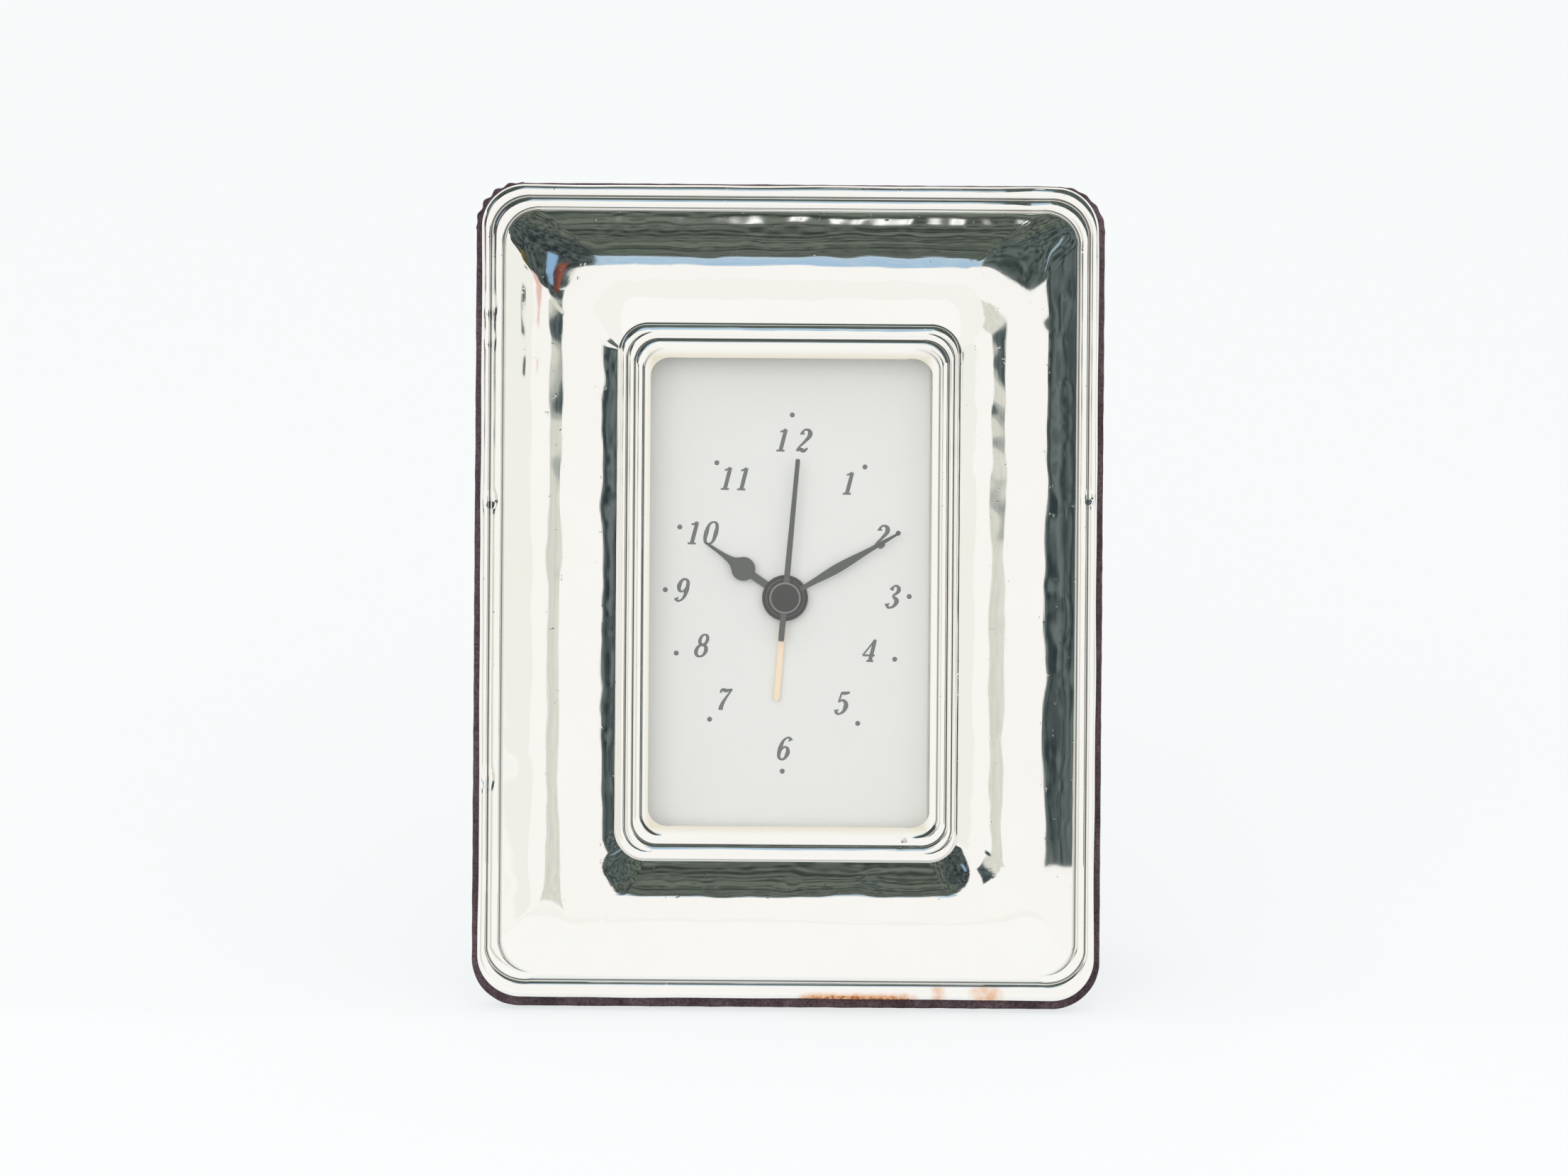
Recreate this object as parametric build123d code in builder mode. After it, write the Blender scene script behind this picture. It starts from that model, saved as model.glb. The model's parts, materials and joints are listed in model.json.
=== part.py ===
from build123d import *
import os
from math import cos, pi, radians, sin, tan

# Photo frame clock: a stamped silver front on a velvet-covered back board that leans on an easel
# strut, with a quartz alarm movement behind a tall rectangular dial. Millimetres, +Z up, the dial
# faces -Y. The origin is the middle of the flat strip of velvet that the frame stands on.

# Stance
lean_angle = 12.0
strut_open_angle = 20.0
base_cut = 0.4

# Frame, seen from the front
velvet_width = 100.0
velvet_height = 131.0
velvet_corner = 7.6
show_side = 0.9
show_bottom = 1.4
show_top = 0.3
rail_width = 27.4
silver_corner = 6.7
window_corner = 3.0

# Frame, front to back
velvet_skin = 0.7
board_thickness = 4.0
sheet = 0.5
core_clearance = 0.05

# Moulding of the silver: widths across the rail and heights above its back edge
outer_bead_widths = (1.6, 1.6)
outer_cove = 0.7
outer_groove_height = 1.9
inner_bead_widths = (1.25, 1.05, 1.4)
inner_groove_height = 3.7
bead_rise = 0.6
cushion_foot = 2.6
cushion_heel = 3.5
cushion_rise = 3.5
cushion_steps = 5
crown_land = 0.03
window_bevel = 1.6
window_edge_height = 3.3

# Clock insert
insert_width = 48.0
insert_height = 80.0
insert_clearance = 0.2
insert_shift_x = -0.5
insert_shift_y = -0.85
lens_thickness = 1.4
spacer_wall = 1.2
dial_thickness = 0.8
dial_seat = 2.2

# Screws and tacks of the frame
screw_radius = 1.0
screw_head_radius = 2.0
screw_head_height = 1.0
screw_bite = 2.5
tack_radius = 0.6
tack_head_radius = 1.1
tack_head_height = 0.5
tack_bite = 3.2

# Easel strut and its hinge
strut_x = 38.5
strut_top_width = 12.0
strut_foot_width = 16.0
strut_thickness = 3.0
strut_skin = 0.5
strut_gap = 1.0
hinge_drop = 33.0
knuckle_radius = 1.3
knuckle_stand = 0.2
knuckle_length = 4.0
knuckle_gap = 0.1
hinge_pin_radius = 0.6
hinge_clearance = 0.05
leaf_thickness = 0.6
leaf_length = 9.0
leaf_neck = 2.2
tack_spacing = 7.0
tack_rise = 5.4
rivet_drop = 5.6
strut_top = 2.5
strut_foot_cap = 1.0

# Movement case
works_width = 57.0
movement_height = 56.0
movement_depth = 17.5
movement_drop = 2.0
movement_gap = 0.8
plate_thickness = 1.4
case_wall = 1.2
case_corner = 1.5
boss_radius = 2.2
boss_inset = 3.5
boss_low = 20.5
case_screw_radius = 0.8
case_screw_head_radius = 1.6
case_screw_head_height = 1.0
case_screw_bite = 0.9

# Coaxial shafts at the centre, from the inside out
running_clearance = 0.05
second_arbor_radius = 0.5
tube_wall = 0.45
alarm_tube_wall = 0.6
bush_wall = 0.65
bush_rise = 0.5
nut_wall = 0.5
nut_height = 0.45

# Gear train: tooth counts, centre distances and directions about the centre
gear_thickness = 0.8
gear_gap = 0.4
arbor_radius = 0.4
setting_arbor_radius = 0.5
third_distance = 9.0
third_direction = 50.0
fifth_distance = 8.75
fifth_direction = 130.0
rotor_distance = 7.2
rotor_direction = 150.0
motion_distance = 9.6
motion_direction = -20.0
alarm_distance = 9.6
alarm_direction = 200.0
rotor_leaves = 12
fifth_teeth = 60
fifth_leaves = 10
seconds_teeth = 60
seconds_leaves = 10
third_teeth = 80
third_leaves = 10
centre_teeth = 75
cannon_leaves = 12
motion_teeth = 36
motion_leaves = 12
hour_teeth = 48
alarm_teeth = 36
alarm_leaves = 12
tooth_addendum = 0.7
tooth_dedendum = 1.05
tooth_slack = 0.2
tooth_root_spread = 1.35
tooth_tip_spread = 0.5

# Hands: turned clockwise from twelve, as they stand at ten past ten
hand_thickness = 0.25
hand_spacing = 0.3
hour_angle = 304.5
minute_angle = 60.0
second_angle = 4.9
alarm_angle = 184.0
hand_point = 0.45
hour_length = 15.4
hour_root_width = 1.2
hour_shoulder_place = 10.2
hour_shoulder_width = 2.3
hour_neck_place = 11.3
hour_neck_width = 1.3
hour_needle_place = 12.3
hour_needle_width = 0.75
hour_bulb_place = 8.1
hour_bulb_radius = 1.9
minute_length = 20.9
minute_root_width = 0.75
minute_belly_width = 1.45
minute_belly_share = 0.45
minute_shoulder_width = 0.7
minute_shoulder_share = 0.8
second_length = 22.0
second_tail = 6.9
second_root_width = 0.95
second_tip_width = 0.65
alarm_length = 16.6
alarm_hand_width = 1.2
alarm_tip_width = 0.5
alarm_tip_length = 0.4
hour_disc_radius = 3.6
minute_disc_radius = 2.7
second_disc_radius = 1.7
second_cap_radius = 1.0
second_cap_height = 0.4

# Stepping motor
magnet_radius = 2.5
magnet_height = 1.3
stator_clearance = 0.4
stator_ring = 1.7
stator_thickness = 0.9
stator_leg = 3.0
stator_span = 19.0
coil_rise = 9.2
coil_core_width = 3.0
bobbin_flange = 1.0
bobbin_wall = 0.6
bobbin_clearance = 0.1
bobbin_size = (7.0, 5.6)
winding_size = (6.2, 4.8)
winding_corner = 1.2
post_radius = 1.2
train_plate_thickness = 0.8
train_screw_radius = 0.6
train_screw_head_radius = 1.1
train_screw_head_height = 0.6
train_screw_bite = 3.0
train_plate_size = (33.0, 28.0)
train_plate_centre = (-1.8, 1.6)
train_posts = ((13.0, 14.0), (-16.5, -4.0), (0.0, -10.5))

# Electronics
board_size = (11.0, 17.5)
board_place = (20.5, 10.75)
board_sheet = 1.0
board_depth = 3.8
board_posts = ((-3.0, -6.5), (3.5, 6.5))
crystal_radius = 1.05
crystal_length = 6.2
crystal_place = (18.5, 8.0)
chip_radius = 2.2
chip_height = 1.0
chip_place = (22.5, 13.0)
buzzer_radius = 6.5
buzzer_height = 2.4
buzzer_place = (20.3, 11.0)
sound_slot = (8.0, 1.0)
sound_slot_pitch = 2.2
sound_slots = 4
contact_spring_width = 2.0
contact_spring_thickness = 0.2
contact_spring_gap = 0.1
contact_spring_end = 3.2

# Controls at the back
knob_radius = 5.0
knob_height = 3.5
knob_gap = 0.3
knob_bore = 2.0
knob_flutes = 16
knob_flute_radius = 0.5
switch_place = (6.0, 19.5)
switch_plate = (8.0, 5.0, 1.0)
switch_button = (3.0, 2.4, 2.0)
switch_travel = 3.0
switch_clearance = 0.1

# Battery and its door
battery_radius = 7.0
battery_length = 49.5
battery_nub_radius = 2.75
battery_nub_height = 1.0
battery_drop = 19.5
battery_gap = 0.3
contact_room = 1.6
contact_plate = (8.0, 9.0)
contact_sheet = 0.4
contact_bump_radius = 2.5
contact_spring_radius = 3.5
door_margin = 0.75
door_clearance = 0.15
door_tongue = 1.0
door_tongue_thickness = 0.4
door_top = 12.4
door_grips = 3
door_grip_pitch = 1.6
door_grip_length = 10.0
door_grip_width = 0.6
door_grip_height = 0.5

# Places that follow from the sizes above
lean = radians(lean_angle)
standing = (Align.CENTER, Align.CENTER, Align.MIN)


def leaning_plane(origin, angle):
    """Plane that leans back by an angle: x to the right, y up it, z out of its front."""
    tilt = radians(angle)
    return Plane(origin=origin, x_dir=(1, 0, 0), z_dir=(0, -cos(tilt), sin(tilt)))


base_shift = base_cut * (1 / tan(lean) - tan(lean)) / 2
face = leaning_plane((0, base_shift, -base_cut), lean_angle)
face_axis = Axis(face.origin, face.z_dir)


def spot(x, y, depth=0.0):
    """Plane on the leaning face; depth counts forward from the back of the velvet."""
    return Plane(origin=face.from_local_coords((x, y, depth)), x_dir=face.x_dir, z_dir=face.z_dir)


def polar(distance, direction, start=(0.0, 0.0)):
    angle = radians(direction)
    return (start[0] + distance * cos(angle), start[1] + distance * sin(angle))


silver_width = velvet_width - 2 * show_side
silver_height = velvet_height - show_bottom - show_top
silver_y = show_bottom + silver_height / 2
board_front = velvet_skin + board_thickness
front_base = board_front + velvet_skin
velvet = spot(0, velvet_height / 2)
rail = spot(0, silver_y)
hinge_y = velvet_height - hinge_drop
hub_y = silver_y + insert_shift_y
movement = spot(insert_shift_x, hub_y)

lip_underside = front_base + window_edge_height - sheet
lens_back = lip_underside - core_clearance - lens_thickness
dial_front = dial_seat + dial_thickness
plate_back = dial_seat - plate_thickness
rear_face = dial_seat - movement_depth
rear_inside = rear_face + case_wall
battery_bay = battery_length + battery_nub_height + 2 * contact_room
movement_width = max(works_width, battery_bay + 2 * case_wall)
pocket_size = (insert_width + 2 * insert_clearance, insert_height + 2 * insert_clearance)
case_centre = (0.0, -movement_drop)
case_opening = (movement_width + 2 * movement_gap, movement_height + 2 * movement_gap)


def post(place, bottom, top, radius, mode=Mode.ADD):
    """Round bar square to the face, between two depths of the plane in use."""
    with Locations((place[0], place[1], bottom)):
        Cylinder(radius, top - bottom, align=standing, mode=mode)


def block(place, size, bottom, top, mode=Mode.ADD):
    """Square-edged slab between two depths of the plane in use."""
    with Locations((place[0], place[1], bottom)):
        Box(size[0], size[1], top - bottom, align=standing, mode=mode)


# Moulding of the rail, as (inset from the silver's edge, depth) pairs
outer_band = sum(outer_bead_widths) + outer_cove
inner_band = sum(inner_bead_widths) + window_bevel
cushion_width = rail_width - outer_band - inner_band
crown_place = 0.5 + (cushion_heel - cushion_foot) / (8 * cushion_rise)


def rail_outline(inset):
    """Rounded rectangle of the moulding; its corner eases from the outer one to the window's."""
    corner = silver_corner + (window_corner - silver_corner) * inset / rail_width
    RectangleRounded(silver_width - 2 * inset, silver_height - 2 * inset, corner)


def cushion(share):
    """Point of the cushion at a share of the way across it, a parabola on a sloping chord."""
    rise = cushion_foot + (cushion_heel - cushion_foot) * share
    return (outer_band + cushion_width * share, front_base + rise + 4 * cushion_rise * share * (1 - share))


def beads(start, widths, groove):
    """Row of half-round beads, each ending in its groove."""
    points = []
    for width in widths:
        for share in (0.2, 0.5, 0.8, 1.0):
            points.append((start + width * share, front_base + groove + bead_rise * sin(pi * share)))
        start = start + width
    return points


cushion_up = [cushion((crown_place - crown_land) * step / cushion_steps) for step in range(cushion_steps + 1)]
cushion_down = [
    cushion(crown_place + crown_land + (1 - crown_place - crown_land) * step / cushion_steps)
    for step in range(cushion_steps + 1)
]
silver_up = [(0.0, front_base), (0.0, front_base + outer_groove_height)]
silver_up += beads(0.0, outer_bead_widths, outer_groove_height) + cushion_up
silver_down = cushion_down + beads(outer_band + cushion_width, inner_bead_widths, inner_groove_height)
silver_down += [(rail_width, front_base + window_edge_height), (rail_width, board_front)]


def underside(thickness, foot):
    """Rising and falling sides of the space under the sheet, a thickness below its face."""
    groove = front_base + outer_groove_height - thickness
    rising = [(thickness, foot), (thickness, groove - core_clearance), (sum(outer_bead_widths), groove)]
    rising += [(inset, depth - thickness) for inset, depth in cushion_up]
    falling = [(inset, depth - thickness) for inset, depth in cushion_down]
    falling.append((outer_band + cushion_width + thickness, front_base + window_edge_height - thickness))
    return rising, falling


def moulding(rising, falling):
    """Ring lofted from the outer edge up to the crown, with the inner side lofted out of it."""
    with BuildPart() as ring:
        for inset, depth in rising:
            with BuildSketch(rail.offset(depth)):
                rail_outline(inset)
        loft(ruled=True)
        for inset, depth in falling:
            with BuildSketch(rail.offset(depth)):
                rail_outline(inset)
        loft(ruled=True, mode=Mode.SUBTRACT)
    return ring.part


screw_places = [
    (side * (silver_width - rail_width) / 2, end * (silver_height - rail_width) / 2)
    for side in (-1, 1)
    for end in (-1, 1)
]
screw_tip = board_front + screw_bite

with BuildPart() as silver_front:
    add(moulding(silver_up, silver_down))
    add(moulding(*underside(sheet, front_base)), mode=Mode.SUBTRACT)

with BuildPart() as core_moulding:
    add(moulding(*underside(sheet + core_clearance, board_front)))
    with BuildSketch(movement.offset(board_front)):
        Rectangle(*pocket_size)
    extrude(amount=cushion_up[-1][1] - board_front, mode=Mode.SUBTRACT)
    with BuildSketch(rail.offset(board_front)):
        with Locations(*screw_places):
            Circle(screw_radius)
    extrude(amount=screw_bite, mode=Mode.SUBTRACT)

# Back board and its velvet
board_size_flat = (velvet_width - 2 * velvet_skin, velvet_height - 2 * velvet_skin)
board_corner = velvet_corner - velvet_skin
tack_places = [(strut_x + side * tack_spacing / 2, hinge_y + tack_rise) for side in (-1, 1)]

with BuildPart(face) as back_board:
    with BuildSketch(velvet.offset(velvet_skin)):
        RectangleRounded(*board_size_flat, board_corner)
    extrude(amount=board_thickness)
    with BuildSketch(spot(insert_shift_x, hub_y - movement_drop, velvet_skin)):
        Rectangle(*case_opening)
    extrude(amount=board_thickness, mode=Mode.SUBTRACT)
    with BuildSketch(movement.offset(dial_seat)):
        Rectangle(*pocket_size)
    extrude(amount=board_front - dial_seat, mode=Mode.SUBTRACT)
    for x, y in screw_places:
        post((x, y + silver_y), velvet_skin, board_front, screw_radius, Mode.SUBTRACT)
        head_top = velvet_skin + screw_head_height
        post((x, y + silver_y), velvet_skin, head_top, screw_head_radius, Mode.SUBTRACT)
    for place in tack_places:
        post(place, velvet_skin, velvet_skin + tack_bite, tack_radius, Mode.SUBTRACT)

with BuildPart(face) as velvet_cover:
    with BuildSketch(velvet):
        RectangleRounded(velvet_width, velvet_height, velvet_corner)
    extrude(amount=front_base)
    with BuildSketch(velvet.offset(velvet_skin)):
        RectangleRounded(*board_size_flat, board_corner)
    extrude(amount=board_thickness, mode=Mode.SUBTRACT)
    with BuildSketch(rail.offset(board_front)):
        rail_outline(sheet)
    extrude(amount=velvet_skin, mode=Mode.SUBTRACT)
    with BuildSketch(spot(insert_shift_x, hub_y - movement_drop)):
        Rectangle(*case_opening)
    extrude(amount=velvet_skin, mode=Mode.SUBTRACT)
    for place in tack_places:
        post(place, 0, velvet_skin, tack_radius, Mode.SUBTRACT)
    split(bisect_by=Plane.XY, keep=Keep.TOP)

with BuildPart(rail) as frame_screws:
    for place in screw_places:
        post(place, velvet_skin, screw_tip, screw_radius)
        post(place, velvet_skin, velvet_skin + screw_head_height, screw_head_radius)

# Clock insert: lens, spacer and dial, stacked in the pocket of the core
with BuildPart() as lens:
    with BuildSketch(movement.offset(lens_back)):
        Rectangle(insert_width, insert_height)
    extrude(amount=lens_thickness)

with BuildPart() as dial_spacer:
    with BuildSketch(movement.offset(dial_front)):
        Rectangle(insert_width, insert_height)
        Rectangle(insert_width - 2 * spacer_wall, insert_height - 2 * spacer_wall, mode=Mode.SUBTRACT)
    extrude(amount=lens_back - dial_front)

# Coaxial shafts, from the inside out
minute_bore = second_arbor_radius + running_clearance
minute_radius = minute_bore + tube_wall
hour_bore = minute_radius + running_clearance
hour_radius = hour_bore + tube_wall
alarm_bore = hour_radius + running_clearance
alarm_radius = alarm_bore + alarm_tube_wall
bush_bore = alarm_radius + running_clearance
bush_radius = bush_bore + bush_wall
bush_top = dial_front + bush_rise
hub = (0.0, 0.0)

with BuildPart() as dial:
    with BuildSketch(movement.offset(dial_seat)):
        Rectangle(insert_width, insert_height)
        Circle(bush_radius, mode=Mode.SUBTRACT)
    extrude(amount=dial_thickness)

with BuildPart() as axle_nut:
    with BuildSketch(movement.offset(dial_front)):
        RegularPolygon(bush_radius + nut_wall, 6, major_radius=False)
        Circle(bush_radius, mode=Mode.SUBTRACT)
    extrude(amount=nut_height)

# Hands, one above the other
alarm_hand_base = bush_top + hand_spacing
hour_hand_base = alarm_hand_base + hand_thickness + hand_spacing
minute_hand_base = hour_hand_base + hand_thickness + hand_spacing
second_hand_base = minute_hand_base + hand_thickness + hand_spacing


def hand_plane(base, angle):
    """Plane of a hand, its y along the hand, turned clockwise from twelve."""
    turn = radians(angle)
    across = face.x_dir * cos(turn) - face.y_dir * sin(turn)
    return Plane(origin=movement.offset(base).origin, x_dir=across, z_dir=face.z_dir)


def blade(*stations):
    """Hand outline through (distance from the centre, width) stations."""
    right = [(width / 2, distance) for distance, width in stations]
    left = [(-x, y) for x, y in reversed(right)]
    Polygon(*right, *left, align=None)


with BuildPart() as alarm_hand:
    with BuildSketch(hand_plane(alarm_hand_base, alarm_angle)):
        Circle(hour_disc_radius)
        alarm_shoulder = (alarm_length - alarm_tip_length, alarm_hand_width)
        blade((0, alarm_hand_width), alarm_shoulder, (alarm_length, alarm_tip_width))
        Circle(alarm_radius, mode=Mode.SUBTRACT)
    extrude(amount=hand_thickness)

with BuildPart() as hour_hand:
    with BuildSketch(hand_plane(hour_hand_base, hour_angle)):
        Circle(hour_disc_radius)
        blade(
            (0, hour_root_width),
            (hour_bulb_place, hour_root_width),
            (hour_shoulder_place, hour_shoulder_width),
            (hour_neck_place, hour_neck_width),
            (hour_needle_place, hour_needle_width),
            (hour_length, hand_point),
        )
        with Locations((0, hour_bulb_place)):
            Circle(hour_bulb_radius)
        Circle(hour_radius, mode=Mode.SUBTRACT)
    extrude(amount=hand_thickness)

with BuildPart() as minute_hand:
    with BuildSketch(hand_plane(minute_hand_base, minute_angle)):
        Circle(minute_disc_radius)
        belly = (minute_length * minute_belly_share, minute_belly_width)
        shoulder = (minute_length * minute_shoulder_share, minute_shoulder_width)
        blade((0, minute_root_width), belly, shoulder, (minute_length, hand_point))
        with Locations((0, minute_length)):
            Circle(hand_point / 2)
        Circle(minute_radius, mode=Mode.SUBTRACT)
    extrude(amount=hand_thickness)

with BuildPart(movement) as second_hand:
    with BuildSketch(hand_plane(second_hand_base, second_angle)):
        Circle(second_disc_radius)
        blade((-second_tail, second_root_width), (0, second_root_width), (second_length, second_tip_width))
        with Locations((0, second_length)):
            Circle(second_tip_width / 2)
    extrude(amount=hand_thickness)
    second_hand_top = second_hand_base + hand_thickness
    post(hub, second_hand_top, second_hand_top + second_cap_height, second_cap_radius)

# Gear train: places, modules and the turn of each gear that puts its teeth in mesh
third_place = polar(third_distance, third_direction)
fifth_place = polar(fifth_distance, fifth_direction)
rotor_place = polar(rotor_distance, rotor_direction, fifth_place)
motion_place = polar(motion_distance, motion_direction)
alarm_place = polar(alarm_distance, alarm_direction)


def level(number):
    """Back of a layer of gears, counted from the front plate."""
    return plate_back - gear_gap - gear_thickness - number * (gear_thickness + gear_gap)


def module_for(distance, teeth_a, teeth_b):
    return 2 * distance / (teeth_a + teeth_b)


def mesh_turn(turn, teeth, direction, other_teeth):
    """Turn of the other gear of a pair, which lies in a direction from the first."""
    return direction + 180 + 180 / other_teeth - (turn - direction) * teeth / other_teeth


def gear_outline(module, teeth, turn):
    """Straight-flanked gear with a tooth at the given turn."""
    pitch_radius = module * teeth / 2
    half_tooth = 90 / teeth * (1 - tooth_slack)
    half_root = tooth_root_spread * half_tooth
    half_tip = tooth_tip_spread * half_tooth
    tip = pitch_radius + tooth_addendum * module
    root = pitch_radius - tooth_dedendum * module
    corners = []
    for tooth in range(teeth):
        middle = turn + 360 * tooth / teeth
        corners += [polar(root, middle - half_root), polar(tip, middle - half_tip)]
        corners += [polar(tip, middle + half_tip), polar(root, middle + half_root)]
    Polygon(*corners, align=None)


def gear_plane(place, number):
    """Plane at the back of a gear in a layer of the train."""
    return Plane(
        origin=movement.from_local_coords((place[0], place[1], level(number))),
        x_dir=face.x_dir,
        z_dir=face.z_dir,
    )


rotor_module = module_for(rotor_distance, rotor_leaves, fifth_teeth)
fifth_module = module_for(fifth_distance, fifth_leaves, seconds_teeth)
seconds_module = module_for(third_distance, seconds_leaves, third_teeth)
third_module = module_for(third_distance, third_leaves, centre_teeth)
cannon_module = module_for(motion_distance, cannon_leaves, motion_teeth)
motion_module = module_for(motion_distance, motion_leaves, hour_teeth)
alarm_module = module_for(alarm_distance, alarm_leaves, alarm_teeth)

fifth_turn = mesh_turn(0, rotor_leaves, rotor_direction + 180, fifth_teeth)
seconds_turn = mesh_turn(0, fifth_leaves, fifth_direction + 180, seconds_teeth)
third_turn = mesh_turn(0, seconds_leaves, third_direction, third_teeth)
centre_turn = mesh_turn(0, third_leaves, third_direction + 180, centre_teeth)
motion_turn = mesh_turn(0, cannon_leaves, motion_direction, motion_teeth)
hour_turn = mesh_turn(0, motion_leaves, motion_direction + 180, hour_teeth)
alarm_turn = mesh_turn(0, alarm_leaves, alarm_direction + 180, alarm_teeth)

magnet_top = level(6) - gear_gap
magnet_bottom = magnet_top - magnet_height
train_plate_top = magnet_bottom - gear_gap
train_plate_bottom = train_plate_top - train_plate_thickness
knob_front = rear_face - knob_gap
knob_back = knob_front - knob_height
setting_arbor_end = knob_front - knob_bore
pivot_front = plate_back + plate_thickness / 2

with BuildPart(movement) as rotor:
    with BuildSketch(gear_plane(rotor_place, 6)):
        gear_outline(rotor_module, rotor_leaves, 0)
    extrude(amount=gear_thickness)
    post(rotor_place, train_plate_bottom, pivot_front, arbor_radius)
    post(rotor_place, magnet_bottom, magnet_top, magnet_radius)

with BuildPart(movement) as fifth_wheel:
    with BuildSketch(gear_plane(fifth_place, 6)):
        gear_outline(rotor_module, fifth_teeth, fifth_turn)
    extrude(amount=gear_thickness)
    with BuildSketch(gear_plane(fifth_place, 5)):
        gear_outline(fifth_module, fifth_leaves, 0)
    extrude(amount=gear_thickness)
    post(fifth_place, train_plate_bottom, pivot_front, arbor_radius)

with BuildPart(movement) as seconds_wheel:
    with BuildSketch(gear_plane(hub, 5)):
        gear_outline(fifth_module, seconds_teeth, seconds_turn)
    extrude(amount=gear_thickness)
    with BuildSketch(gear_plane(hub, 4)):
        gear_outline(seconds_module, seconds_leaves, 0)
    extrude(amount=gear_thickness)
    post(hub, train_plate_bottom, second_hand_base, second_arbor_radius)

with BuildPart(movement) as third_wheel:
    with BuildSketch(gear_plane(third_place, 4)):
        gear_outline(seconds_module, third_teeth, third_turn)
    extrude(amount=gear_thickness)
    with BuildSketch(gear_plane(third_place, 3)):
        gear_outline(third_module, third_leaves, 0)
    extrude(amount=gear_thickness)
    post(third_place, train_plate_bottom, pivot_front, arbor_radius)

with BuildPart(movement) as centre_wheel:
    with BuildSketch(gear_plane(hub, 3)):
        gear_outline(third_module, centre_teeth, centre_turn)
        Circle(minute_radius + running_clearance, mode=Mode.SUBTRACT)
    extrude(amount=gear_thickness)

with BuildPart(movement) as cannon_pinion:
    with BuildSketch(gear_plane(hub, 2)):
        gear_outline(cannon_module, cannon_leaves, 0)
    extrude(amount=gear_thickness)
    post(hub, level(3), minute_hand_base + hand_thickness, minute_radius)
    post(hub, level(3), minute_hand_base + hand_thickness, minute_bore, Mode.SUBTRACT)

with BuildPart(movement) as motion_wheel:
    with BuildSketch(gear_plane(motion_place, 2)):
        gear_outline(cannon_module, motion_teeth, motion_turn)
    extrude(amount=gear_thickness)
    with BuildSketch(gear_plane(motion_place, 1)):
        gear_outline(motion_module, motion_leaves, 0)
    extrude(amount=gear_thickness)
    post(motion_place, setting_arbor_end, pivot_front, setting_arbor_radius)

with BuildPart(movement) as hour_wheel:
    with BuildSketch(gear_plane(hub, 1)):
        gear_outline(motion_module, hour_teeth, hour_turn)
    extrude(amount=gear_thickness)
    post(hub, level(1), hour_hand_base + hand_thickness, hour_radius)
    post(hub, level(1), hour_hand_base + hand_thickness, hour_bore, Mode.SUBTRACT)

with BuildPart(movement) as alarm_wheel:
    with BuildSketch(gear_plane(hub, 0)):
        gear_outline(alarm_module, alarm_teeth, alarm_turn)
    extrude(amount=gear_thickness)
    post(hub, level(0), alarm_hand_base + hand_thickness, alarm_radius)
    post(hub, level(0), alarm_hand_base + hand_thickness, alarm_bore, Mode.SUBTRACT)

with BuildPart(movement) as alarm_setting_pinion:
    with BuildSketch(gear_plane(alarm_place, 0)):
        gear_outline(alarm_module, alarm_leaves, 0)
    extrude(amount=gear_thickness)
    post(alarm_place, setting_arbor_end, pivot_front, setting_arbor_radius)

# Movement case: front plate with its posts, train plate and rear cover
case_top = movement_height / 2 - movement_drop
case_bottom = -movement_height / 2 - movement_drop
case_inner_side = movement_width / 2 - case_wall
coil_place = (rotor_place[0], rotor_place[1] + coil_rise)
leg_offset = (stator_span - stator_leg) / 2
stator_posts = [(coil_place[0] + side * leg_offset, coil_place[1]) for side in (-1, 1)]
board_post_places = [(board_place[0] + x, board_place[1] + y) for x, y in board_posts]
board_back = plate_back - board_depth - board_sheet
running_pivots = (rotor_place, fifth_place, third_place)
setting_pivots = (motion_place, alarm_place)
pivot_radius = arbor_radius + running_clearance
setting_pivot_radius = setting_arbor_radius + running_clearance
boss_side = movement_width / 2 - boss_inset
boss_places = [
    (side * boss_side, height)
    for side in (-1, 1)
    for height in (case_top - boss_inset, case_bottom + boss_low)
]

with BuildPart(movement) as movement_front_plate:
    block(case_centre, (movement_width, movement_height), plate_back, dial_seat)
    fillet(movement_front_plate.edges().filter_by(face_axis), case_corner)
    post(hub, dial_seat, bush_top, bush_radius)
    post(hub, plate_back, bush_top, bush_bore, Mode.SUBTRACT)
    for place in train_posts:
        post(place, train_plate_top, plate_back, post_radius)
        post(place, train_plate_top, train_plate_top + train_screw_bite, train_screw_radius, Mode.SUBTRACT)
    for place in stator_posts:
        post(place, magnet_top, plate_back, post_radius)
    for place in board_post_places:
        post(place, plate_back - board_depth, plate_back, post_radius)
    for place in running_pivots:
        post(place, plate_back, pivot_front + running_clearance, pivot_radius, Mode.SUBTRACT)
    for place in setting_pivots:
        post(place, plate_back, pivot_front + running_clearance, setting_pivot_radius, Mode.SUBTRACT)
    for place in boss_places:
        post(place, plate_back, plate_back + case_screw_bite, case_screw_radius, Mode.SUBTRACT)

with BuildPart(movement) as train_plate:
    block(train_plate_centre, train_plate_size, train_plate_bottom, train_plate_top)
    post(hub, train_plate_bottom, train_plate_top, second_arbor_radius + running_clearance, Mode.SUBTRACT)
    for place in running_pivots:
        post(place, train_plate_bottom, train_plate_top, pivot_radius, Mode.SUBTRACT)
    for place in setting_pivots:
        post(place, train_plate_bottom, train_plate_top, setting_pivot_radius, Mode.SUBTRACT)
    for place in train_posts:
        post(place, train_plate_bottom, train_plate_top, train_screw_radius, Mode.SUBTRACT)

with BuildPart(movement) as train_screws:
    for place in train_posts:
        post(place, train_plate_bottom - train_screw_head_height, train_plate_bottom, train_screw_head_radius)
        post(place, train_plate_bottom, train_plate_top + train_screw_bite, train_screw_radius)

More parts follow.
